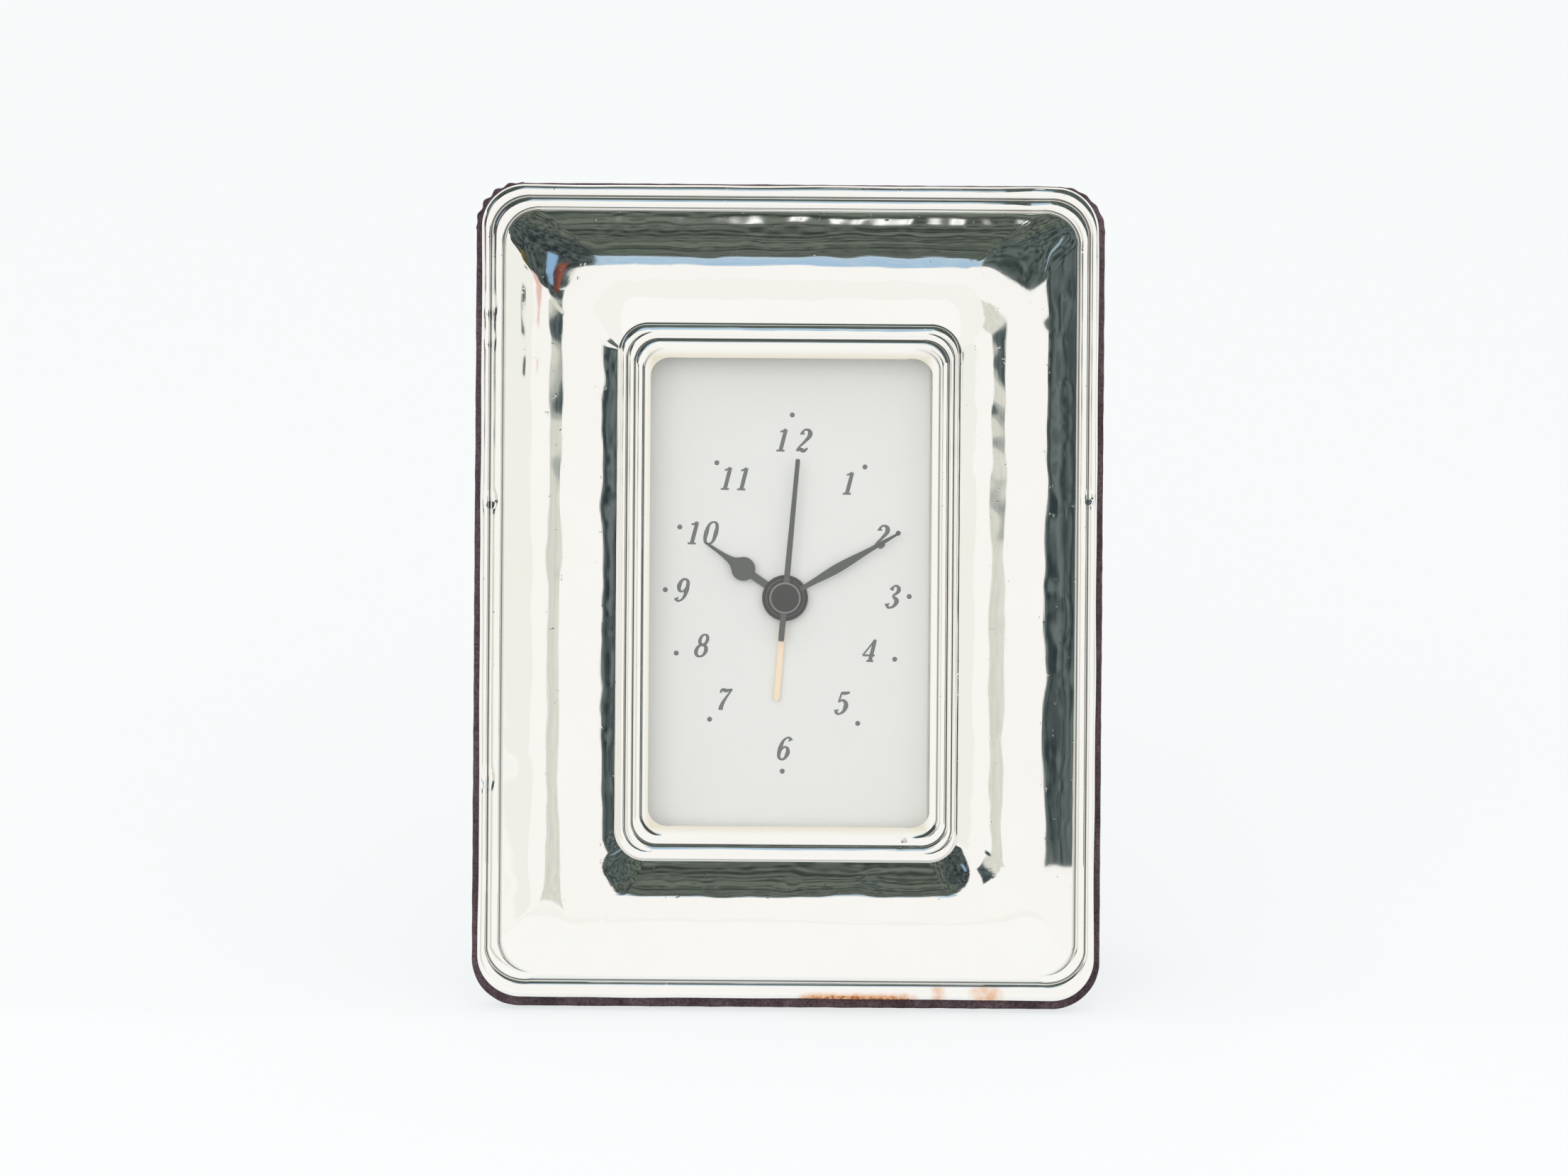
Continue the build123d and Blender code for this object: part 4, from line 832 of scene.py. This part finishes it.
bm = bmesh.new()
bmesh.ops.create_cube(bm, size=1.0)
bmesh.ops.bevel(
    bm, geom=long_edges(bm), offset=0.06, segments=3, profile=0.5, affect="EDGES", material=-1,
    clamp_overlap=True,
)
bmesh.ops.subdivide_edges(bm, edges=long_edges(bm), cuts=60, use_grid_fill=True)
for vert in bm.verts:
    share = 0.5 - vert.co.y
    width = STRUT_WIDTHS[0] + (STRUT_WIDTHS[1] - STRUT_WIDTHS[0]) * share
    y = STRUT_TOP + (STRUT_END - STRUT_TOP) * share
    # The bevel was cut on a unit cube, so its round is set again in millimetres across the width.
    side = math.copysign(width / 2 - (0.5 - abs(vert.co.x)) * ROUND_SCALE, vert.co.x)
    z = (STRUT_DEPTH[0] + STRUT_DEPTH[1]) / 2 + vert.co.z * (STRUT_DEPTH[1] - STRUT_DEPTH[0])
    soft = STRUT_FUZZ[0] * noise.noise((side / STRUT_FUZZ[1], y / STRUT_FUZZ[1], z))
    vert.co = Vector((side, y, z + soft * (1 if vert.co.z > 0 else -1)))
bmesh.ops.recalc_face_normals(bm, faces=bm.faces)
bmesh.ops.transform(bm, matrix=leaning(STRUT_HINGE, STRUT_LEAN), verts=bm.verts)
stand_flat(bm)
finish_piece(bm, "strut_velvet", "strut_set", velvet, "velvet", "strut_cover")

# %% [markdown]
# The dial is a thin plate with a satin white print, and the figures are printed on it in dark grey. A
# figure could be set in a typeface, but these are drawn by a sloping pen: thick stems, hairline turns and
# round drops at the ends. So each figure is a few Bezier strokes whose radius swells and thins, made a mesh,
# pressed flat and sloped.

# %% Strokes of the figures
# Each stroke is a row of (across, up, half width) in parts of the figure's height; True closes it.
SIX = (
    ([(0.5, 0.84, 0.075), (0.45, 0.94, 0.03), (0.33, 0.98, 0.022), (0.13, 0.5, 0.07), (0.31, 0.02, 0.024),
      (0.5, 0.29, 0.07), (0.33, 0.57, 0.022), (0.16, 0.4, 0.03)], False),
)
FIGURES = {
    "0": (([(0.31, 0.98, 0.022), (0.1, 0.5, 0.07), (0.31, 0.02, 0.022), (0.52, 0.5, 0.07)], True),),
    "1": (
        ([(0.3, 0.05, 0.06), (0.3, 0.5, 0.06), (0.3, 0.95, 0.055)], False),
        ([(0.29, 0.97, 0.03), (0.2, 0.88, 0.03), (0.08, 0.85, 0.02)], False),
        ([(0.12, 0.02, 0.022), (0.3, 0.022, 0.022), (0.48, 0.02, 0.022)], False),
    ),
    "2": (
        ([(0.16, 0.75, 0.08), (0.15, 0.87, 0.03), (0.31, 0.975, 0.025), (0.5, 0.77, 0.075),
          (0.36, 0.46, 0.045), (0.15, 0.17, 0.025), (0.09, 0.03, 0.02)], False),
        ([(0.09, 0.04, 0.02), (0.24, 0.1, 0.055), (0.42, 0.045, 0.055), (0.54, 0.17, 0.02)], False),
    ),
    "3": (
        ([(0.15, 0.79, 0.075), (0.2, 0.92, 0.03), (0.32, 0.98, 0.025), (0.47, 0.77, 0.065),
          (0.27, 0.54, 0.022)], False),
        ([(0.27, 0.54, 0.022), (0.5, 0.28, 0.075), (0.29, 0.02, 0.025), (0.14, 0.09, 0.035),
          (0.12, 0.2, 0.08)], False),
    ),
    "4": (
        ([(0.41, 0.97, 0.03), (0.23, 0.62, 0.022), (0.04, 0.27, 0.022)], False),
        ([(0.04, 0.27, 0.024), (0.3, 0.27, 0.024), (0.56, 0.27, 0.024)], False),
        ([(0.41, 0.95, 0.045), (0.41, 0.5, 0.06), (0.41, 0.05, 0.06)], False),
        ([(0.26, 0.02, 0.022), (0.41, 0.022, 0.022), (0.56, 0.02, 0.022)], False),
    ),
    "5": (
        ([(0.15, 0.95, 0.03), (0.33, 0.93, 0.05), (0.52, 0.97, 0.025)], False),
        ([(0.17, 0.95, 0.022), (0.155, 0.75, 0.022), (0.14, 0.54, 0.022)], False),
        ([(0.14, 0.54, 0.022), (0.3, 0.62, 0.03), (0.5, 0.33, 0.075), (0.29, 0.02, 0.025),
          (0.14, 0.09, 0.035), (0.13, 0.2, 0.075)], False),
    ),
    "6": SIX,
    "7": (
        ([(0.08, 0.8, 0.022), (0.11, 0.94, 0.04), (0.3, 0.91, 0.055), (0.54, 0.97, 0.025)], False),
        ([(0.54, 0.97, 0.022), (0.37, 0.6, 0.035), (0.27, 0.3, 0.06), (0.26, 0.06, 0.07)], False),
    ),
    "8": (
        ([(0.31, 0.98, 0.022), (0.15, 0.77, 0.05), (0.31, 0.53, 0.04), (0.47, 0.77, 0.05)], True),
        ([(0.31, 0.54, 0.03), (0.1, 0.27, 0.06), (0.31, 0.02, 0.022), (0.52, 0.27, 0.06)], True),
    ),
    "9": tuple(([(0.62 - x, 1 - y, half) for x, y, half in stroke], closed) for stroke, closed in SIX),
}
FIGURE_HEIGHT = 3.65
FIGURE_SLOPE = math.tan(math.radians(13.0))
# The ink spreads: strokes are printed wider than they were drawn.
INK_GAIN, INK_EDGE = 1.22, 0.013


def figure_mesh(figure):
    """Mesh of one figure, one high, from its strokes."""
    curve = bpy.data.curves.new("figure", "CURVE")
    curve.dimensions = "3D"
    curve.bevel_depth = 1.0
    curve.bevel_resolution = 1
    curve.resolution_u = 7
    curve.use_fill_caps = True
    for stroke, closed in FIGURES[figure]:
        spline = curve.splines.new("BEZIER")
        spline.bezier_points.add(len(stroke) - 1)
        spline.use_cyclic_u = closed
        for point, (x, y, half) in zip(spline.bezier_points, stroke):
            point.co = (x, y, 0)
            point.radius = half * INK_GAIN + INK_EDGE
            point.handle_left_type = point.handle_right_type = "AUTO"
    drawn = bpy.data.objects.new("figure", curve)
    mesh = bpy.data.meshes.new_from_object(drawn)
    bpy.data.objects.remove(drawn)
    bpy.data.curves.remove(curve)
    return mesh


figures = {figure: figure_mesh(figure) for figure in FIGURES}
print("figures", {figure: len(mesh.vertices) for figure, mesh in figures.items()})

# %% [markdown]
# The hours stand upright on the dial on a tall rounded ring, and a small dot marks each one further out. The
# dots follow a superellipse, a curve between an ellipse and a diamond here. The whole print sits a little
# askew on its plate, as on the real clock.

# %% Printing ink
ink, tree, shader = new_material("grey_printing_ink", {"Roughness": 0.5})
place = add_node(tree, "ShaderNodeTexCoord").outputs["Object"]
speckle = add_node(tree, "ShaderNodeTexNoise", {"Vector": place, "Scale": per_metre(0.3), "Detail": 2.0})
greys = {"Factor": speckle.outputs["Fac"], 6: linear("#5B6161"), 7: linear("#6C7272")}
inked = add_node(tree, "ShaderNodeMix", greys, data_type="RGBA")
tree.links.new(inked.outputs[2], shader.inputs["Base Color"])
print(ink.name)

# %% Printed hours
PRINT_TURN = math.radians(-1.2)
PRINT_LIFT = 0.02
# Share of the strokes' roundness that is left after pressing
PRINT_RELIEF = 0.05
HOURS = {
    "12": (0.72, 90.37), "1": (9.7, 83.6), "2": (14.83, 75.1), "3": (16.76, 65.51), "4": (13.15, 56.98),
    "5": (8.76, 48.52), "6": (-0.44, 41.2), "7": (-10.1, 48.87), "8": (-13.63, 57.51), "9": (-16.85, 66.34),
    "10": (-13.66, 75.5), "11": (-8.44, 84.21),
}
FIGURE_GAPS = {"12": 3.3, "10": 2.6, "11": 2.6}
MIDDLE = Vector((0.31 + FIGURE_SLOPE / 2, 0.5))

bm = bmesh.new()
for hour, (x, y) in HOURS.items():
    gap = FIGURE_GAPS.get(hour, 0.0)
    for position, figure in enumerate(hour):
        before = set(bm.verts)
        bm.from_mesh(figures[figure])
        added = [vert for vert in bm.verts if vert not in before]
        along = (position - (len(hour) - 1) / 2) * gap
        for vert in added:
            up = vert.co.y
            vert.co.x += up * FIGURE_SLOPE
            flat = Vector((vert.co.x - MIDDLE.x, up - MIDDLE.y)) * FIGURE_HEIGHT + Vector((along, 0))
            flat = Matrix.Rotation(PRINT_TURN, 2) @ flat
            vert.co = Vector((x + flat.x, y + flat.y, DIAL_FRONT + PRINT_LIFT + vert.co.z * PRINT_RELIEF))
bmesh.ops.transform(bm, matrix=face, verts=bm.verts)
finish_piece(bm, "printed_hours", "frame", ink, "dial_print")

# %% Printed dots
DOT_RING = (19.45, 28.4)
DOT_POWER = 1.7
DOT_RADIUS = 0.4
DOT_CENTRE = Vector((-0.15, 65.97))
bm = bmesh.new()
for hour in range(12):
    angle = math.radians(30.0 * hour)
    across, up = math.sin(angle), math.cos(angle)
    reach = (abs(across / DOT_RING[0]) ** DOT_POWER + abs(up / DOT_RING[1]) ** DOT_POWER) ** (-1 / DOT_POWER)
    spot = DOT_CENTRE + Matrix.Rotation(PRINT_TURN, 2) @ Vector((across, up)) * reach
    bmesh.ops.create_cone(
        bm, cap_ends=True, segments=20, radius1=DOT_RADIUS, radius2=DOT_RADIUS * 0.9, depth=0.02,
        matrix=Matrix.Translation((*spot, DIAL_FRONT + PRINT_LIFT)),
    )
bmesh.ops.transform(bm, matrix=face, verts=bm.verts)
finish_piece(bm, "printed_dots", "frame", ink, "dial_print")

# %% [markdown]
# The rest of the clock keeps its solids and only needs finishes. Most of them are one base with a second
# colour in fine noise, a little uneven gloss and a moulded or ground grain. So one recipe makes them all
# from a row of values, and a comment on each row says what the real surface gives the eye.

# %% Finishes by slot
def grained(name, even, colours, grain, rough, relief):
    """Finish of two close colours in a grain in mm, with roughness from and to, and relief in mm."""
    material, tree, shader = new_material(name, even)
    place = add_node(tree, "ShaderNodeTexCoord").outputs["Object"]
    coarse = per_metre(grain * 12)
    cloud = add_node(tree, "ShaderNodeTexNoise", {"Vector": place, "Scale": coarse, "Detail": 5.0})
    fine = add_node(tree, "ShaderNodeTexNoise", {"Vector": place, "Scale": per_metre(grain), "Detail": 2.0})
    both = add_node(tree, "ShaderNodeMix", {"Factor": 0.4, 2: cloud.outputs["Fac"], 3: fine.outputs["Fac"]})
    both = both.outputs[0]
    tones = {"Factor": both, 6: linear(colours[0]), 7: linear(colours[1])}
    tint = add_node(tree, "ShaderNodeMix", tones, data_type="RGBA")
    tree.links.new(tint.outputs[2], shader.inputs["Base Color"])
    spread = {"Value": both, "From Min": 0.3, "From Max": 0.7, "To Min": rough[0], "To Max": rough[1]}
    dull = add_node(tree, "ShaderNodeMapRange", spread)
    tree.links.new(dull.outputs["Result"], shader.inputs["Roughness"])
    raised = {"Height": fine.outputs["Fac"], "Strength": 0.6, "Distance": relief * MM}
    bump = add_node(tree, "ShaderNodeBump", raised)
    tree.links.new(bump.outputs["Normal"], shader.inputs["Normal"])
    return material


METAL = {"Metallic": 1.0}
finishes = {
    # Beech core and board: pale, matt and out of sight.
    "wood": grained("beech", {}, ("#C9A477", "#B58B5C"), 1.2, (0.55, 0.7), 0.05),
    # Grey board in the strut: soft fibres, no gloss.
    "card": grained("grey_board", {}, ("#8F8A80", "#7C776D"), 0.5, (0.85, 0.95), 0.05),
    # Nickelled steel: bright, slightly warm grey with fine drawn lines.
    "steel": grained("nickelled_steel", METAL, ("#C9C8C4", "#AEADA8"), 0.25, (0.22, 0.38), 0.01),
    # Printed white dial plate: satin, almost even.
    "dial_print": grained("white_dial_lacquer", {}, ("#EEF0ED", "#E9EBE8"), 0.5, (0.38, 0.46), 0.002),
    # Natural acetal wheels: milky and waxy.
    "white_plastic": grained("natural_acetal", {}, ("#EDEBE3", "#E2DFD5"), 0.4, (0.35, 0.45), 0.01),
    # Moulded ABS case: charcoal with a spark-eroded grain that breaks up the gloss.
    "black_plastic": grained("grained_abs", {}, ("#1B1C1E", "#26282A"), 0.35, (0.42, 0.58), 0.05),
    # Turned brass: warm and bright.
    "brass": grained("turned_brass", METAL, ("#D9B668", "#C9A252"), 0.3, (0.2, 0.32), 0.01),
    # Enamelled copper wire: red-brown under clear varnish.
    "copper_wire": grained("enamelled_copper", METAL, ("#B5643A", "#9C4F2B"), 0.2, (0.25, 0.35), 0.03),
    # Black lacquered hands: satin, so the white room greys them.
    "black_hands": grained("black_hand_lacquer", {}, ("#3F4542", "#4C524F"), 0.4, (0.3, 0.42), 0.004),
    # Blackened brass of the nut and collar: darker than the lacquer.
    "blackened": grained("blackened_brass", {}, ("#131414", "#1A1B1B"), 0.3, (0.4, 0.5), 0.01),
    # The same lacquer lightened on a rim: a painted highlight.
    "highlit_rim": grained("hand_lacquer_painted_highlight", {}, ("#6A716D", "#7C837F"), 0.3, (0.3, 0.4), 0.004),
    # Pale gilt alarm hand.
    "gold_hand": grained("gilt_lacquer", {}, ("#FDE8CC", "#F9E0C0"), 0.4, (0.3, 0.4), 0.004),
    # Pale marking ink on the case.
    "case_ink": grained("pale_marking_ink", {}, ("#B4B6B2", "#A6A8A4"), 0.3, (0.5, 0.6), 0.004),
    # Oil and painted shadow in the screws' cross slots, which are flat dark crosses.
    "slot_oil_and_shade": grained("slot_oil_and_painted_shade", {}, ("#2A2A28", "#383835"), 0.2, (0.5, 0.6), 0.004),
    # Ferrite rotor: near black and dull.
    "magnet": grained("ferrite", {}, ("#2B2B2D", "#1F1F21"), 0.2, (0.6, 0.75), 0.02),
    # Solder resist on glass board: green and glossy.
    "green_board": grained("green_solder_resist", {}, ("#1F6A44", "#185638"), 0.5, (0.25, 0.35), 0.01),
    # Drawn tin can of the crystal.
    "crystal_can": grained("tinned_can", METAL, ("#D4D3CF", "#BFBEBA"), 0.3, (0.2, 0.3), 0.01),
    # Moulded knobs: a little glossier than the case.
    "knob_plastic": grained("moulded_knob_abs", {}, ("#232426", "#2C2E30"), 0.25, (0.3, 0.42), 0.02),
    # Red switch slider in polystyrene.
    "red_switch": grained("red_polystyrene", {}, ("#B8261F", "#A11E19"), 0.3, (0.28, 0.36), 0.01),
    # Plain battery sleeve in printed film.
    "battery_sleeve": grained("battery_film", {}, ("#2D4B6E", "#274361"), 0.5, (0.25, 0.35), 0.01),
}
finishes["silver"] = silver_plate
finishes["velvet"] = velvet
print("finishes", len(finishes))

# %% [markdown]
# The lens is a clear acrylic sheet. Nearly all light goes through it, and its two faces reflect about a
# twelfth of the white room, which is why the black hands look grey in the picture.

# %% Lens
lens_sheet, tree, shader = new_material(
    "clear_acrylic", {"Base Color": linear("#FFFFFF"), "Transmission Weight": 1.0, "IOR": 1.49}
)
place = add_node(tree, "ShaderNodeTexCoord").outputs["Object"]
smear = add_node(tree, "ShaderNodeTexNoise", {"Vector": place, "Scale": per_metre(6.0), "Detail": 3.0})
wiped = add_node(tree, "ShaderNodeMapRange", {"Value": smear.outputs["Fac"], "To Min": 0.0, "To Max": 0.02})
tree.links.new(wiped.outputs["Result"], shader.inputs["Roughness"])
finishes["clear_lens"] = lens_sheet
print(lens_sheet.name)

# %% [markdown]
# Each solid has a slot in the part's record, and each slot now has a finish, so one loop dresses them all.

# %% Dress the solids
slot_of = {row["node"]: row["material_slot"] for row in frame["record"]["subparts"]}
for node, item in frame["nodes"].items():
    for seat in item.material_slots:
        seat.material = finishes[slot_of[node]]
# Light reaches the dial straight through the clear sheet, without waiting for caustics.
frame["nodes"]["lens"].visible_shadow = False
frame["nodes"]["lens"].visible_diffuse = False
print("dressed", len(slot_of), "solids")

# %% [markdown]
# The hands are pressed from thin sheet and lacquered. Each is a blade whose width changes along its length,
# with a low crown that rounds down to its edges, and a disc that fits its tube. The blade is a narrow grid
# whose rows take their widths from stations, thickened downwards; the disc is a small section that is spun.

# %% Hand helpers
HAND_THICKNESS = 0.25
HAND_ROWS = 90
# How far a blade falls from its middle to its edges
HAND_FALL = 0.1
SHARP_EDGE = 35.0


def spin_section(bm, section, closed=False):
    """Adds a section of (radius, height) spun about the hands' axis, and faces the whole mesh outwards."""
    verts = [bm.verts.new((radius, 0.0, height)) for radius, height in section]
    nexts = verts[1:] + verts[:1] if closed else verts[1:]
    edges = [bm.edges.new(pair) for pair in zip(verts, nexts)]
    bmesh.ops.spin(
        bm, geom=verts + edges, cent=(0, 0, 0), axis=(0, 0, 1), angle=2 * math.pi, steps=72, use_merge=True
    )
    bmesh.ops.remove_doubles(bm, verts=bm.verts, dist=1e-4)
    bmesh.ops.recalc_face_normals(bm, faces=bm.faces)


def thickened(bm):
    """Gives a flat mesh walls and a second side, and returns the vertices of that side."""
    second = bmesh.ops.extrude_face_region(bm, geom=list(bm.faces))["geom"]
    return [item for item in second if isinstance(item, bmesh.types.BMVert)]


def smooth_width(stations, distance):
    """Width at a distance from the centre, eased between stations of (distance, width)."""
    for (near, width), (far, next_width) in zip(stations, stations[1:]):
        if distance <= far:
            share = max(0.0, (distance - near) / (far - near))
            return width + (next_width - width) * share * share * (3 - 2 * share)
    return stations[-1][1]


def hand(name, body, node, slot, angle, base, stations, disc, bulb=None):
    """Makes a hand: a blade through its stations, a bulb of (distance, radius) and a spun disc."""
    bm = bmesh.new()
    bmesh.ops.create_grid(bm, x_segments=4, y_segments=HAND_ROWS, size=0.5)
    first, last = stations[0][0], stations[-1][0]
    for vert in bm.verts:
        distance = first + (last - first) * (vert.co.y + 0.5)
        width = smooth_width(stations, distance)
        if bulb and abs(distance - bulb[0]) < bulb[1]:
            width = max(width, 2 * math.sqrt(bulb[1] ** 2 - (distance - bulb[0]) ** 2))
        crown = HAND_THICKNESS - HAND_FALL * (2 * vert.co.x) ** 2
        vert.co = Vector((vert.co.x * width, distance, crown))
    for vert in thickened(bm):
        vert.co.z = 0.0
    spin_section(bm, disc)
    turn = Matrix.Translation((*HUB, base)) @ Matrix.Rotation(math.radians(-angle), 4, "Z")
    bmesh.ops.transform(bm, matrix=face @ turn, verts=bm.verts)
    finish_piece(bm, name, body, finishes[slot], slot, node, sharp=SHARP_EDGE)


print("hands are", HAND_THICKNESS, "mm thick")

# %% [markdown]
# The alarm hand is lowest, then the hour, the minute and the seconds. From the hour hand up the discs get
# smaller, so the rings of the lower ones show round the top one.

# %% The four hands
hand(
    "gilt_alarm_hand", "alarm_set", "alarm_hand", "gold_hand", 184.4, 3.8,
    [(0.0, 0.95), (15.9, 0.95), (16.5, 0.4)],
    [(0.0, 0.25), (3.2, 0.25), (3.3, 0.2), (3.3, 0.0), (0.0, 0.0)],
)
hand(
    "spade_hour_hand", "hour_set", "hour_hand", "black_hands", 304.5, 4.35,
    [(0.0, 1.2), (8.1, 1.2), (9.7, 2.1), (10.4, 1.35), (11.0, 1.05), (12.0, 0.75), (13.2, 0.55), (15.4, 0.4)],
    [(0.0, 0.2), (3.0, 0.2), (3.05, 0.12), (3.2, 0.12), (3.25, 0.25), (3.5, 0.25), (3.6, 0.15), (3.6, 0.0),
     (0.0, 0.0)],
    bulb=(8.1, 1.9),
)
hand(
    "leaf_minute_hand", "minute_set", "minute_hand", "black_hands", 60.0, 4.9,
    [(0.0, 0.75), (3.5, 0.8), (9.6, 1.45), (17.0, 0.68), (20.5, 0.4), (20.9, 0.4)],
    [(0.0, 0.25), (2.75, 0.25), (2.85, 0.15), (2.85, 0.0), (0.0, 0.0)],
    bulb=(20.7, 0.28),
)
hand(
    "needle_second_hand", "seconds_set", "second_hand", "black_hands", 4.9, 5.45,
    [(-6.9, 0.8), (-6.5, 0.95), (0.0, 0.95), (21.8, 0.72), (22.2, 0.6)],
    [(0.0, 0.34), (1.4, 0.33), (2.2, 0.29), (2.45, 0.22), (2.5, 0.1), (2.5, 0.0), (0.0, 0.0)],
)

# %% [markdown]
# A round nut holds the movement to the dial under the hands, and a collar stands round the hour hand's disc.
# The minute and second hands have thin rims, and a cap closes the axle. All of them are turned, so all are
# small closed sections that are spun. Only the second hand's rim is pale: a painted highlight, its lacquer
# lightened all round.

# %% Nut, collar, rims and cap
def turned(name, body, section, *nodes, finish="blackened", slot="brass"):
    """Makes a ring from a closed section of (radius, height on the face), spun about the hands' centre."""
    bm = bmesh.new()
    spin_section(bm, section, closed=True)
    bmesh.ops.transform(bm, matrix=face @ Matrix.Translation((*HUB, 0)), verts=bm.verts)
    finish_piece(bm, name, body, finishes[finish], slot, *nodes, sharp=SHARP_EDGE)


turned(
    "dial_nut", "frame", [(1.9, DIAL_FRONT), (3.3, DIAL_FRONT), (3.3, 3.6), (3.2, 3.7), (1.9, 3.7)],
    "axle_nut",
)
turned("minute_rim", "minute_set", [(2.52, 5.14), (2.84, 5.1), (2.86, 5.16), (2.6, 5.2)], slot="black_hands")
# The second hand's rim is lightened all round: a painted highlight.
turned(
    "seconds_rim", "seconds_set", [(2.1, 5.7), (2.46, 5.6), (2.5, 5.66), (2.34, 5.75), (2.16, 5.77)],
    finish="highlit_rim", slot="black_hands",
)
turned(
    "seconds_cap", "seconds_set", [(0.0, 5.7), (2.2, 5.7), (2.2, 5.8), (2.1, 5.83), (0.0, 5.85)],
    slot="black_hands",
)
turned(
    "hour_collar", "hour_set", [(3.2, 4.4), (3.62, 4.35), (3.66, 4.5), (3.6, 4.66), (3.3, 4.68), (3.2, 4.6)],
)

# %% [markdown]
# The back of such a case carries a few marks: arrows round the two setting knobs, the switch's two words,
# the battery's poles and the cross slots of the screws. An arrow could be cut from a sheet, but a narrow
# grid bent round a circle is shorter: its width is even along the shaft, and swells and runs out at the
# head.

# %% Mark helpers
REAR_FACE = -15.3
MARK_DEPTH = 0.03
rear = face @ Matrix.Translation((*HUB, REAR_FACE)) @ Matrix.Rotation(math.pi, 4, "Y")
KNOBS = ((9.02, -3.28), (-9.02, -3.28))
SCREWS = ((25.0, 22.5), (-25.0, 22.5), (25.0, -9.5), (-25.0, -9.5))
# Words and signs: text, place as seen from behind and height
WORDS = (
    ("ON", (-13.6, 19.5), 2.4),
    ("OFF", (-1.0, 19.5), 2.4),
    ("+", (-19.5, -10.4), 3.4),
    ("\u2013", (19.5, -10.4), 3.4),
)
# Arrows: radius, angles in degrees from and to, widths of the shaft and the head, and where the head starts
ARROW_RADIUS = 6.6
ARROW_TURN = (145.0, 65.0)
SHAFT_WIDTH, HEAD_WIDTH = 0.4, 1.7
HEAD_START = 0.78
# Length and width of a screw's slot
SLOT = (2.0, 0.45)


def add_arrow(bm, centre):
    """Adds a flat arrow bent round a centre."""
    start, end = ARROW_TURN
    for vert in bmesh.ops.create_grid(bm, x_segments=40, y_segments=1, size=0.5)["verts"]:
        share = vert.co.x + 0.5
        width = SHAFT_WIDTH if share < HEAD_START else HEAD_WIDTH * (1 - share) / (1 - HEAD_START)
        reach = ARROW_RADIUS + vert.co.y * width
        angle = math.radians(start + (end - start) * share)
        vert.co = Vector((centre[0] + reach * math.cos(angle), centre[1] + reach * math.sin(angle), 0))


def add_word(bm, word, centre, height):
    """Adds a word as flat faces, centred on a place."""
    curve = bpy.data.curves.new("word", "FONT")
    curve.body = word
    curve.size = height
    curve.align_x = curve.align_y = "CENTER"
    drawn = bpy.data.objects.new("word", curve)
    mesh = bpy.data.meshes.new_from_object(drawn)
    mesh.transform(Matrix.Translation((*centre, 0)))
    bm.from_mesh(mesh)
    bpy.data.objects.remove(drawn)
    bpy.data.curves.remove(curve)
    bpy.data.meshes.remove(mesh)


def finish_marks(bm, name, finish, slot):
    """Thickens flat marks, lays them on the back of the case and writes them to a piece."""
    bmesh.ops.translate(bm, verts=thickened(bm), vec=(0, 0, MARK_DEPTH))
    bmesh.ops.recalc_face_normals(bm, faces=bm.faces)
    bmesh.ops.transform(bm, matrix=rear, verts=bm.verts)
    finish_piece(bm, name, "frame", finishes[finish], slot, sharp=SHARP_EDGE)


print("marks stand", MARK_DEPTH, "mm proud")

# %% Marks on the case
bm = bmesh.new()
for x, y in KNOBS:
    add_arrow(bm, (-x, y))
for word, place, height in WORDS:
    add_word(bm, word, place, height)
finish_marks(bm, "case_marks", "case_ink", "black_plastic")
# The screws' slots are flat dark crosses: oil and painted shade stand for their depth.
bm = bmesh.new()
for x, y in SCREWS:
    for width, height in (SLOT, SLOT[::-1]):
        stretch = Matrix.Translation((-x, y, 0)) @ Matrix.Diagonal((width, height, 1, 1))
        bmesh.ops.create_grid(bm, x_segments=1, y_segments=1, size=0.5, matrix=stretch)
finish_marks(bm, "screw_slots", "slot_oil_and_shade", "steel")
